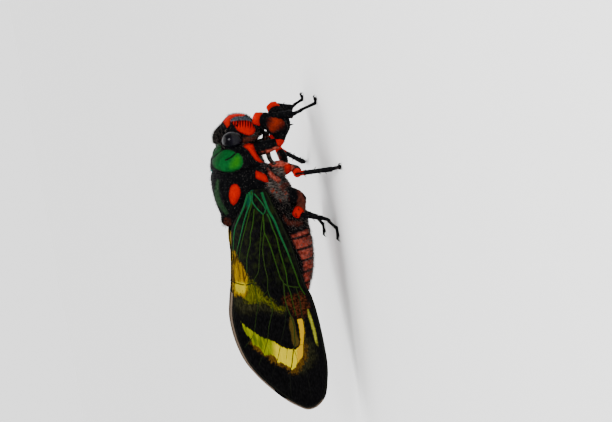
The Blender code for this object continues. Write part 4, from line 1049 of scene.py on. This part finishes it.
def wing_material():
    """Charcoal membrane with yellow fields, streaked along the cells, and green veins."""
    s = Shader("wing_membrane", 0.42, Specular_IOR_Level=0.008)
    along = (0.16, 1.0, 1.0)
    streaks = s.noise(9000.0, 4.0, along, 0.65)
    mottle = s.noise(1500.0, 5.0)
    colour = s.mix(s.ramp(streaks, 0.35, 0.8), (0.0008, 0.0008, 0.0010), (0.0070, 0.0066, 0.0070))
    smoke = s.math("MULTIPLY", s.ramp(s.value("clear"), -1.5, 3.0), s.ramp(mottle, 0.42, 0.72))
    colour = s.mix(s.math("MULTIPLY", smoke, 0.85), colour, (0.009, 0.0125, 0.003))
    # Green glint at the wing's root: painted highlight on the membrane
    root_glint = s.mix(streaks, (0.0005, 0.020, 0.010), (0.003, 0.085, 0.040))
    colour = s.mix(s.math("MULTIPLY", s.mask("root_glint", 0.2, 0.2), 0.8), colour, root_glint)
    fume = s.mix(s.ramp(streaks, 0.30, 0.75), (0.002, 0.002, 0.001), (0.036, 0.035, 0.013))
    colour = s.mix(s.math("MULTIPLY", s.mask("smoke", 0.85, 0.9, 2200.0, 4.0), 0.85), colour, fume)
    fringe = s.mix(s.ramp(streaks, 0.3, 0.7), (0.022, 0.009, 0.001), (0.105, 0.052, 0.006))
    colour = s.mix(s.mask("fringe", 0.25, 0.7, 3000.0, 5.0), colour, fringe)
    olive = s.mix(s.ramp(streaks, 0.3, 0.75), (0.018, 0.020, 0.001), (0.115, 0.115, 0.002))
    colour = s.mix(s.mask("olive", 0.42, 0.9, 3000.0, 5.0), colour, olive)
    gold = s.ramp(s.noise(2600.0, 4.0, along), 0.38, 0.62)
    gold = s.mix(gold, (0.055, 0.028, 0.0), (0.235, 0.135, 0.0))
    glow = s.mix(s.noise(2600.0, 4.0, along), (0.24, 0.17, 0.0), (0.46, 0.37, 0.001))
    gold = s.mix(s.mask("glow", 0.3, 0.3, 3200.0), gold, glow)
    gold = s.mix(s.ramp(s.noise(5200.0, 3.0), 0.62, 0.70), gold, (0.020, 0.014, 0.001))
    colour = s.mix(s.mask("gold", 0.2, 0.45, 3400.0, 5.0), colour, gold)
    wine = s.ramp(s.noise(3600.0, 4.0), 0.35, 0.7)
    wine = s.mix(wine, (0.004, 0.002, 0.001), (0.062, 0.016, 0.006))
    colour = s.mix(s.mask("maroon", 0.35, 0.6, 2800.0, 5.0), colour, wine)
    lime = s.ramp(s.noise(2600.0, 4.0, along), 0.3, 0.7)
    lime = s.mix(lime, (0.050, 0.072, 0.001), (0.20, 0.225, 0.002))
    cream = s.mix(s.noise(2600.0, 4.0, along), (0.40, 0.30, 0.0), (0.66, 0.53, 0.002))
    band = s.mix(s.ramp(s.value("lime"), -0.5, 0.5), cream, lime)
    inner = s.math("SUBTRACT", s.value("band"), 0.1)
    wave = s.math("MULTIPLY", s.math("SUBTRACT", s.noise(4600.0, 5.0, along), 0.5), 0.6)
    colour = s.mix(s.ramp(s.math("ADD", inner, wave), -0.07, 0.07), colour, band)
    colour = s.mix(s.mask("bar", 0.06, 0.1), colour, (0.46, 0.27, 0.0))
    amber = s.mix(streaks, (0.020, 0.013, 0.002), (0.080, 0.055, 0.010))
    colour = s.mix(s.mask("amber", 0.15, 0.15), colour, amber)
    straw = s.mix(s.noise(2600.0, 4.0, along), (0.13, 0.135, 0.006), (0.36, 0.37, 0.04))
    colour = s.mix(s.mask("pale", 0.1, 0.12), colour, straw)
    colour = s.mix(s.mask("rim", 0.06, 0.06), colour, (0.115, 0.085, 0.062))
    colour = s.mix(s.mask("hem", 0.05, 0.05), colour, (0.20, 0.13, 0.006))
    lush = s.value("lush")
    dark_vein = s.mix(s.noise(3000.0), (0.002, 0.002, 0.002), (0.010, 0.011, 0.008))
    moss = s.mix(s.noise(2400.0), (0.006, 0.014, 0.002), (0.022, 0.044, 0.007))
    lime_vein = s.mix(s.noise(2400.0), (0.006, 0.021, 0.002), (0.020, 0.060, 0.006))
    teal = s.mix(s.noise(2400.0), (0.003, 0.032, 0.009), (0.010, 0.104, 0.032))
    green = s.mix(s.ramp(lush, 0.42, 0.66), moss, lime_vein)
    green = s.mix(s.ramp(lush, 0.76, 0.92), green, teal)
    vein = s.mix(s.ramp(lush, 0.05, 0.4), dark_vein, green)
    shade = s.math("MAXIMUM", s.mask("band", 0.1), s.mask("gold", 0.1))
    vein = s.mix(shade, vein, (0.010, 0.007, 0.001))
    colour = s.mix(s.value("vein"), colour, vein)
    s.colour(colour)
    s.roughness(streaks, 0.32, 0.55)
    s.bump(streaks, 0.00005, 0.5)
    return s.material


# Eyes, feelers, beak and legs

EYE_CENTRE = (15.98, 3.35, 11.85)
EYE_RADII = (1.12, 1.18, 1.4)


def build_eye(name, side):
    """Bulging eye with a fine-meshed surface."""
    points, faces = ball((0, 0, 0), EYE_RADII, 72, 48)
    turn = Matrix.Rotation(math.radians(-12 * side), 3, "Z")
    points = points @ np.array(turn).T + (EYE_CENTRE[0], side * EYE_CENTRE[1], EYE_CENTRE[2])
    return add_mesh(name, points, faces)


FORELEG = {
    "coxa": ((14.1, 2.1, 9.3), (14.2, 2.55, 7.6), (14.45, 2.85, 6.1)),
    "coxa_radii": (0.95, 0.92, 0.74),
    "trochanter": ((14.4, 2.9, 5.9), (14.9, 3.05, 5.4)),
    "trochanter_radius": 0.64,
    "femur_radii": (0.66, 1.3, 1.4, 1.05, 0.82),
    "femur_bow": 1.0,
    "femur_flat": 0.78,
    "tibia_radii": (0.504, 0.495, 0.558),
    "spines": ((0.3, 0.9), (0.55, 1.4), (0.76, 0.7)),
}
MIDLEG = {
    "coxa": ((10.6, 1.9, 7.2), (10.9, 2.5, 5.6), (11.0, 3.0, 4.9)),
    "coxa_radii": (0.95, 0.9, 0.66),
    "trochanter": ((11.0, 3.0, 4.8), (10.9, 3.6, 4.5)),
    "trochanter_radius": 0.52,
    "femur_radii": (0.48, 0.58, 0.62, 0.58, 0.52),
    "femur_bow": 0.2,
    "femur_flat": 1.0,
    "tibia_radii": (0.36, 0.31, 0.34),
    "spines": (),
}
HINDLEG = {
    "coxa": ((7.6, 1.9, 6.4), (6.9, 2.3, 4.7), (6.2, 2.7, 3.9)),
    "coxa_radii": (1.25, 1.15, 0.85),
    "trochanter": ((6.2, 3.0, 3.9), (5.9, 3.5, 4.1)),
    "trochanter_radius": 0.55,
    "femur_radii": (0.5, 0.66, 0.7, 0.66, 0.58),
    "femur_bow": 0.1,
    "femur_flat": 1.0,
    "tibia_radii": (0.36, 0.31, 0.34),
    "spines": (),
}
# Shape and side of each leg, its knee, ankle, heel and toe
STANCE = {
    "foreleg_r": (FORELEG, -1, (18.25, 3.6, 8.3), (18.0, 4.1, 3.6),
        (18.2, 4.2, 2.5), (19.5, 4.7, 0.2)),
    "foreleg_l": (FORELEG, 1, (19.2, 3.9, 4.8), (18.3, 5.6, 2.1),
        (18.6, 5.7, 1.5), (19.7, 5.6, 0.2)),
    "midleg_r": (MIDLEG, -1, (10.3, 6.5, 4.5), (10.5, 11.3, 0.8),
        (10.6, 12.0, 0.4), (10.9, 14.5, 0.2)),
    "midleg_l": (MIDLEG, 1, (13.0, 6.2, 4.5), (10.4, 10.8, 0.8),
        (10.2, 11.7, 0.4), (10.3, 14.51, 0.2)),
    "hindleg_r": (HINDLEG, -1, (4.9, 5.1, 5.3), (3.8, 5.0, 2.0),
        (3.4, 4.9, 1.2), (1.0, 4.7, 0.2)),
    "hindleg_l": (HINDLEG, 1, (5.0, 5.2, 5.2), (3.5, 5.4, 1.8),
        (3.1, 5.5, 1.0), (0.7, 5.6, 0.2)),
}
CLAW_LENGTH = 0.75
FOOT_RADIUS = 0.26
# Widths of the foot's three joints, as shares of its radius
FOOT_WIDTHS = ((1.0, 0.9, 1.0), (0.8, 0.75, 0.95), (0.7, 0.7, 1.0))
# Bristles of the shin: how many, and the turn from each to the next in radians
SHIN_BRISTLES = 9
BRISTLE_TURN = 2.4
# Least height of a point of a leg over the floor
FLOOR_SPACE = 0.004


def root_mark(points):
    """Marks on the root of the middle leg."""
    here = chart(points)
    loops = (("red", LEG_RINGS), ("pink", LEG_PINK), ("grey", LEG_GREY))
    return {key: field(here, loop) for key, loop in loops}


class Leg:
    """One leg of separate joints, from its root in the thorax to its claws."""

    def __init__(self, shape, side, *joints):
        self.shape, self.side = shape, side
        self.fore, self.mid = shape is FORELEG, shape is MIDLEG
        self.trochanter = self.places(shape["trochanter"])
        self.hip = self.trochanter[1]
        self.knee, self.ankle, self.heel, self.toe = self.places(joints)
        self.length = np.linalg.norm(self.knee - self.hip)
        self.run = (self.knee - self.hip) / self.length
        self.below = unit(self.run * self.run[2] - (0, 0, 1))
        self.parts, self.fields = [], []

    def places(self, rows):
        """Places on the leg's own side of the body."""
        return [np.array((x, self.side * y, z), float) for x, y, z in rows]

    def along_thigh(self, share):
        """Place on the straight line from hip to knee."""
        return self.hip * (1 - share) + self.knee * share

    def outer_side(self, points, share):
        """How far points lie on the outer side of the thigh's middle line."""
        return self.side * (points[:, 1] - self.hip[1] * (1 - share) - self.knee[1] * share)

    def coxa_mark(self, points, share):
        marks = body_marks(points)
        if self.fore:
            edge = points[:, 0] - np.interp(points[:, 2], (6.0, 7.6, 9.3), (14.1, 13.8, 13.6))
            marks["pink"] = np.minimum((share - 0.45) * 2.0, -edge)
        if self.mid:
            marks.update(root_mark(points))
        return marks

    def trochanter_mark(self, points, share):
        if self.fore:
            return {"red": 0.4 - np.abs(share - 0.55) * 1.2}
        return root_mark(points) if self.mid else {"brown": np.full(len(points), 0.3)}

    def thigh_mark(self, points, share):
        if self.fore:
            inward = np.maximum(0.85 - self.outer_side(points, share), 0)
            patch = 0.2 - np.hypot((share - 0.5) * self.length / 1.9, inward / 0.3)
            edge = 0.3 * np.cos(points[:, 1] * 3.4 + 0.6)
            return {"red": (share - 0.87) * self.length + edge, "rust": patch}
        if self.mid:
            marks = root_mark(points)
            marks["red"] = np.maximum(marks["red"], 0.5 - np.abs(share - 0.90) * self.length)
            top = (points - self.hip) @ -self.below - 0.1
            outer = self.outer_side(points, share) + 0.15
            marks["pink"] = np.minimum.reduce([top, (0.56 - share) * self.length, outer])
            return marks
        apex = (share - 0.60) * self.length
        spots = np.sin(points[:, 0] * 6.0) * np.sin(points[:, 2] * 6.5 + 1.0)
        return {"red": np.where(spots > 0.7, -0.1, apex), "brown": (share - 0.12) * self.length}

    def shin_mark(self, points, share):
        if self.mid:
            middle = np.interp(share, (0, 1), (self.knee[0], self.ankle[0]))
            return {"red": np.minimum((0.30 - share) * 5.0, np.abs(points[:, 0] - middle) - 0.14)}
        return {"red": (0.07 - share) * 5.0}

    def add(self, path, radii, mark=None, **more):
        """Add a tapered piece along a path, with its marks."""
        made = limb_loft(path, radii, **more)
        self.parts.append(made)
        marks = no_marks(len(made[0]))
        if mark is not None:
            marks.update(mark(made[0], made[2]))
        self.fields.append(marks)

    def add_limb(self):
        """Hip joints, thigh and shin."""
        shape = self.shape
        self.add(self.places(shape["coxa"]), shape["coxa_radii"], self.coxa_mark,
                 sides=36, steps=10, ridges=(7, 0.015))
        self.add(self.trochanter, [shape["trochanter_radius"]] * 2, self.trochanter_mark)
        bow = self.below * shape["femur_bow"]
        thigh = [self.along_thigh(t) + bow * math.sin(math.pi * t ** 0.8)
                 for t in (0, 0.25, 0.5, 0.75, 1)]
        self.add(thigh, shape["femur_radii"], self.thigh_mark, flat=shape["femur_flat"],
                 sides=40, steps=12, ridges=(9, 0.02 if self.fore else 0.012))
        shin = [self.knee, self.knee * 0.5 + self.ankle * 0.5, self.ankle]
        self.add(shin, shape["tibia_radii"], self.shin_mark, sides=28, steps=24, ridges=(8, 0.05))

    def add_foot(self):
        """Three joints of the foot and a pair of claws."""
        heel, toe = self.heel, self.toe
        first = heel * 0.88 + toe * 0.12
        middle = heel * 0.45 + toe * 0.55
        middle[2] = toe[2] + 0.03
        joints = ((self.ankle, heel, first), (first, (first + middle) / 2, middle),
                  (middle, (middle + toe) / 2, toe))
        for path, widths in zip(joints, FOOT_WIDTHS):
            self.add(path, [FOOT_RADIUS * width for width in widths], sides=16)
        onward = unit(toe - heel)
        across = unit(np.cross((0, 0, 1), onward))
        for turn in (1, -1):
            bend = toe + onward * 0.55 * CLAW_LENGTH + across * turn * 0.4 * CLAW_LENGTH
            tip = toe + onward * CLAW_LENGTH * 1.05 + across * turn * 0.5 * CLAW_LENGTH
            bend[2], tip[2] = 0.34, 0.1
            self.add((toe, bend, tip), (0.15, 0.11, 0.03), sides=12, pointed=True)

    def add_spines(self):
        """Spines under the thigh and short bristles that wind down the shin."""
        for share, reach in self.shape["spines"]:
            root = self.along_thigh(share) + self.below * (self.shape["femur_bow"] + 0.6)
            tip = root + self.below * (0.35 + reach) + self.run * 0.45 * reach
            path = (root, (root + tip) / 2 + self.run * 0.1, tip)
            self.add(path, (0.3, 0.18, 0.04), sides=12, pointed=True)
        reach = np.linalg.norm(self.ankle - self.knee)
        shin = (self.ankle - self.knee) / reach
        level = unit(np.cross(shin, (0.0, 0.0, 1.0)))
        rise = np.cross(level, shin)
        for k in range(SHIN_BRISTLES):
            turn = BRISTLE_TURN * k
            out = level * math.cos(turn) + rise * math.sin(turn)
            root = self.knee + shin * reach * (0.2 + 0.08 * k)
            root = root + out * self.shape["tibia_radii"][1] * 0.8
            path = (root, root + out * 0.22 + shin * 0.12, root + out * 0.34 + shin * 0.3)
            self.add(path, (0.07, 0.05, 0.015), sides=6, steps=2, pointed=True)

    def build(self, name):
        """Join the pieces into one mesh that stands on the floor."""
        self.add_limb()
        self.add_foot()
        self.add_spines()
        points, faces = joined(self.parts)
        points[:, 2] = np.maximum(points[:, 2], FLOOR_SPACE)
        marks = {key: np.concatenate([f[key] for f in self.fields]) for key in COLOURS}
        return add_mesh(name, points, faces, marks)


# Feeler: a stout base of two joints and a long fine bristle, as path, radii, sides and sharp end
FEELER = (
    (((17.35, 2.45, 11.0), (17.7, 2.95, 10.83)), (0.17, 0.13), 20, False),
    (((17.7, 2.95, 10.83), (18.0, 3.4, 10.7)), (0.1, 0.08), 20, False),
    (((18.0, 3.4, 10.7), (18.45, 4.1, 10.6), (19.25, 5.05, 10.75)), (0.05, 0.035, 0.015), 12, True),
)


def build_antenna(name, side):
    """Feeler of one side."""
    parts = []
    for path, radii, sides, sharp in FEELER:
        path = [(x, side * y, z) for x, y, z in path]
        parts.append(limb_loft(path, radii, sides=sides, pointed=sharp))
    points, faces = joined(parts)
    return add_mesh(name, points, faces, no_marks(len(points)))


def build_rostrum():
    """Slender beak folded back between the forelegs."""
    path = ((15.9, 0, 6.7), (14.8, 0, 7.05), (13.2, 0, 6.95), (11.9, 0, 6.6), (10.1, 0, 4.85))
    points, faces, share = limb_loft(path, (0.46, 0.42, 0.34, 0.28, 0.10), sides=20)
    marks = no_marks(len(points))
    marks["grey"] = 0.25 - np.abs(share - 0.6)
    return add_mesh("rostrum_skin", points, faces, marks)


# Coat: sparse bristles, each a thin bent cone of three sides

HAIR_SIDES = 3
HAIR_RADIUS = 0.020
# How far a hair starts under the skin
HAIR_DEPTH = 0.05
# Rings of a hair: share of its length and of its radius
HAIR_SHAPE = ((0.0, 1.0), (0.4, 0.8), (0.75, 0.5))
# Lie of the coat: share of the surface's normal, and a steady direction added to it
FORWARD = (1.0, (0.35, 0, 0.25))
BACKWARD = (0.8, (-0.6, 0, 0.1))


def hair_roots(skin, count, chance, draw):
    """Places drawn at random on a skin, and the direction out of it at each."""
    mesh = skin.data
    mesh.calc_loop_triangles()
    corners = np.empty(len(mesh.loop_triangles) * 3, np.int64)
    mesh.loop_triangles.foreach_get("vertices", corners)
    corners = corners.reshape(-1, 3)
    points, normals = design_points(skin), point_normals(skin)
    a, b, c = (points[corners[:, k]] for k in range(3))
    area = 0.5 * np.linalg.norm(np.cross(b - a, c - a), axis=1)
    middle = (a + b + c) / 3
    marks = {}
    for key in ("red", "green", "dot", "band_reflection"):
        values = np.empty(len(points), np.float32)
        mesh.attributes[key].data.foreach_get("value", values)
        marks[key] = values[corners].mean(1)
    weight = area * np.where(bare(middle, marks), 0, chance(middle, marks))
    pick = draw.choice(len(corners), count, p=weight / weight.sum())
    mix = draw.dirichlet((1, 1, 1), count)
    roots = (points[corners[pick]] * mix[:, :, None]).sum(1)
    return roots, unit(normals[corners].mean(1))[pick]


def hair_points(roots, out, lie, reach, draw):
    """Points of each hair: the rings of a thin bent cone and its tip."""
    count = len(roots)
    way = out * lie[0] + np.array(lie[1])
    way = unit(way + draw.normal(0, 0.22, (count, 3)))
    length = (reach(roots) * draw.uniform(0.5, 1.15, count))[:, None]
    droop = draw.normal(0, 0.16, (count, 3))
    side = unit(np.cross(way, out + 0.01))
    other = np.cross(way, side)
    size = (HAIR_RADIUS * draw.uniform(0.7, 1.2, count))[:, None]
    foot = roots - out * HAIR_DEPTH
    rings = []
    for share, width in HAIR_SHAPE:
        centre = foot + (way * share + droop * share * share) * length
        for k in range(HAIR_SIDES):
            turn = 2 * math.pi * k / HAIR_SIDES
            ring = side * math.cos(turn) + other * math.sin(turn)
            rings.append(centre + ring * (size * width))
    return np.stack(rings + [foot + (way + droop) * length], 1)


def hair_faces():
    """Faces of one hair: its foot, its sides and its tip."""
    top = (len(HAIR_SHAPE) - 1) * HAIR_SIDES
    faces = [(2, 1, 0)]
    for low in range(0, top, HAIR_SIDES):
        high = low + HAIR_SIDES
        for j in range(HAIR_SIDES):
            i = (j + 1) % HAIR_SIDES
            faces += [(low + j, low + i, high + i), (low + j, high + i, high + j)]
    for j in range(HAIR_SIDES):
        faces.append((top + j, top + (j + 1) % HAIR_SIDES, top + HAIR_SIDES))
    return np.array(faces)


def unwrap_hair(made, roots, each):
    """Give each hair a small patch of the bake sheet, placed by where its root lies."""
    layer = made.data.uv_layers.new(name="OFBake")
    turn = np.arctan2(roots[:, 1], roots[:, 2] - 9.5) / (2 * math.pi) + 0.5
    spots = np.stack([(roots[:, 0] + 10) / 34, turn], 1)
    loops = np.empty(len(made.data.loops), np.int64)
    made.data.loops.foreach_get("vertex_index", loops)
    place = np.linspace(0, 2 * math.pi, each, endpoint=False)
    patch = 0.0015 * np.stack([np.cos(place), np.sin(place)], 1)
    layer.data.foreach_set("uv", (spots[loops // each] + patch[loops % each]).ravel())


def grow(name, skin, count, seed, chance, lie, reach, pale):
    """Hairs rooted at random on a skin: chance, reach and pale are worked out per root."""
    draw = np.random.default_rng(seed)
    roots, out = hair_roots(skin, count, chance, draw)
    hair = hair_points(roots, out, lie, reach, draw)
    each = hair.shape[1]
    order = (hair_faces()[None] + each * np.arange(count)[:, None, None]).reshape(-1, 3)
    fields = {key: np.repeat(values, each) for key, values in no_marks(count).items()}
    fields["pale"] = np.repeat(pale(roots, draw), each)
    made = add_mesh(name, hair.reshape(-1, 3), order, fields)
    unwrap_hair(made, roots, each)
    return made


def bare(points, marks):
    """Where no hair grows: on the coloured marks, under the wings and in the eyes."""
    shown = np.maximum.reduce([marks[key] for key in ("red", "green", "dot")])
    eye = np.stack([points[:, 0], np.abs(points[:, 1]), points[:, 2]], 1) - EYE_CENTRE
    near_eye = np.linalg.norm(eye / EYE_RADII, axis=1) < 1.12
    x, z = points[:, 0], points[:, 2]
    covered = (x < 9.3) & (z > value_at(LOWER_LINE, x) - 0.25)
    covered &= (z < value_at(UPPER_MARGIN, x) + 0.35) | (x < 4.0)
    return (shown > -0.03) | near_eye | covered


def build_coat(skin):
    """Bristles of head, thorax and abdomen."""
    def head_chance(p, marks):
        crown = np.exp(-((p[:, 0] - 16.1) / 1.1) ** 2) * np.clip((p[:, 2] - 11.9) / 0.8, 0, 1)
        face = np.where(marks["band_reflection"] > -0.2, 0.35, 0.05)
        cheek = 0.5 * (p[:, 2] < 10.6) * (p[:, 0] < 16.6)
        return np.where(p[:, 0] < 14.9, 0, crown * 2.4 + face * (p[:, 0] > 15.5) + cheek)

    def head_reach(p):
        return 0.32 + 0.26 * np.clip((p[:, 2] - 11.9) / 1.2, 0, 1) * (p[:, 0] < 17.4)

    def thorax_chance(p, marks):
        rear = np.clip((6.6 - p[:, 0]) / 1.5, 0, 1)
        below_side = np.clip((9.6 - p[:, 2]) / 1.5, 0, 1)
        return np.where((p[:, 0] > 15.4) | (p[:, 0] < 4.4), 0, 0.3 + 0.5 * rear + 0.8 * below_side)

    def thorax_reach(p):
        return np.where(p[:, 2] < 9.6, 0.36, 0.34) + 0.2 * (p[:, 0] < 5.5)

    def belly_chance(p, marks):
        return np.where(p[:, 0] > 4.4, 0, np.clip((7.4 - p[:, 2]) / 2.0, 0.05, 1))

    def belly_reach(p):
        return np.full(len(p), 0.42)

    def dark(roots, draw):
        return np.where(draw.random(len(roots)) < 0.16, 1.0, -1.0)

    def mixed(roots, draw):
        share = np.where(roots[:, 2] < 9.0, 0.45, 0.06)
        return np.where(draw.random(len(roots)) < share, 1.0, -1.0)

    rows = (
        ("hair_head", 5200, 11, head_chance, FORWARD, head_reach, dark),
        ("hair_thorax", 8200, 12, thorax_chance, BACKWARD, thorax_reach, mixed),
        ("hair_abdomen", 5600, 13, belly_chance, BACKWARD, belly_reach, mixed),
    )
    return [grow(name, skin, *row) for name, *row in rows]


# Stage


def build_camera():
    """Long lens at the photograph's angle, turned so that the head points up."""
    right, up, near = (Vector(axis) for axis in view_axes())
    data = bpy.data.cameras.new("view")
    data.sensor_width = 36.0
    data.lens = data.sensor_width * VIEW_DISTANCE / (PHOTO_WIDTH * MM_PER_PIXEL)
    data.clip_start = 0.01
    made = bpy.data.objects.new("view", data)
    bpy.context.scene.collection.objects.link(made)
    matrix = Matrix((right, up, near)).transposed().to_4x4()
    target = (Vector(VIEW_TARGET) - Vector((MIDDLE_X, 0, 0))) * MM
    matrix.translation = target + near * VIEW_DISTANCE * MM
    made.matrix_world = matrix
    bpy.context.scene.camera = made


# World light: its strength behind the camera and in front of it, and where it changes
WORLD_LIGHT = {"From Min": -0.1, "From Max": 0.7, "To Min": 0.42, "To Max": 1.97}
SUN_ENERGY = 4.0
SUN_SPREAD = 70
SUN_TURN = (-14, 8, 0)
KEY_ENERGY = 0.62
KEY_SIZE = 0.09
KEY_PLACE = (0.10, -0.24, 0.16)
KEY_AIM = (0, 0, 0.008)
FLOOR_SIZE = 3.0


def add_lamp(name, kind, energy):
    """Lamp of a kind in the scene."""
    lamp = bpy.data.objects.new(name, bpy.data.lights.new(name, kind))
    lamp.data.energy = energy
    bpy.context.scene.collection.objects.link(lamp)
    return lamp


def build_stage():
    """Pale floor, a bright backdrop behind it and soft light from above."""
    world = bpy.data.worlds.new("studio")
    bpy.context.scene.world = world
    world.use_nodes = True
    tree = world.node_tree
    back = tree.nodes["Background"]
    back.inputs["Color"].default_value = (1.0, 1.0, 1.0, 1.0)
    place = tree.nodes.new("ShaderNodeTexCoord")
    split = tree.nodes.new("ShaderNodeSeparateXYZ")
    tree.links.new(place.outputs["Generated"], split.inputs[0])
    strength = tree.nodes.new("ShaderNodeMapRange")
    strength.interpolation_type = "SMOOTHSTEP"
    for key, value in WORLD_LIGHT.items():
        strength.inputs[key].default_value = value
    tree.links.new(split.outputs["Y"], strength.inputs["Value"])
    tree.links.new(strength.outputs[0], back.inputs["Strength"])
    bpy.ops.mesh.primitive_plane_add(size=FLOOR_SIZE, location=(0, 0, 0))
    floor = bpy.context.object
    floor.name = "floor"
    s = Shader("floor_paint", 0.85)
    s.colour(s.mix(s.noise(60.0), (0.88, 0.88, 0.875), (0.91, 0.91, 0.905)))
    floor.data.materials.append(s.material)
    sun = add_lamp("softbox_top", "SUN", SUN_ENERGY)
    sun.data.angle = math.radians(SUN_SPREAD)
    sun.rotation_euler = [math.radians(turn) for turn in SUN_TURN]
    key = add_lamp("softbox_key", "AREA", KEY_ENERGY)
    key.data.size = KEY_SIZE
    key.location = KEY_PLACE
    aim = Vector(KEY_AIM) - key.location
    key.rotation_euler = aim.to_track_quat("-Z", "Y").to_euler()


def dress(piece, material, slot, *nodes):
    """Give a piece its material and body, and hide the solids it stands for; the slot is not used.
    """
    piece.data.materials.clear()
    piece.data.materials.append(material)
    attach(piece, "root")
    if nodes:
        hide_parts(*nodes)


def main():
    """Build every piece around the frame."""
    build_camera()
    build_stage()
    chitin = chitin_material()
    lens = eye_material()
    membrane = wing_material()
    flesh = ("head", "pronotum", "thorax", "abdomen")
    skin = build_skin()
    dress(skin, chitin, "thorax", *flesh)
    coat = build_coat(skin)
    for piece, slot in zip(coat, ("head", "thorax", "abdomen")):
        dress(piece, chitin, slot)
    dress(build_rostrum(), chitin, "feeler", "rostrum")
    for side, tag in ((1, "l"), (-1, "r")):
        dress(build_eye(f"eye_lens_{tag}", side), lens, "eye", f"eye_{tag}")
        dress(build_antenna(f"antenna_skin_{tag}", side), chitin, "feeler", f"antenna_{tag}")
        for kind, slot, *plan in WINGS:
            dress(build_wing(f"{kind}_skin_{tag}", side, *plan), membrane, slot, f"{kind}_{tag}")
    for name, (shape, side, *joints) in STANCE.items():
        leg = Leg(shape, side, *joints).build(name.replace("leg", "leg_skin"))
        dress(leg, chitin, "leg", name)


main()
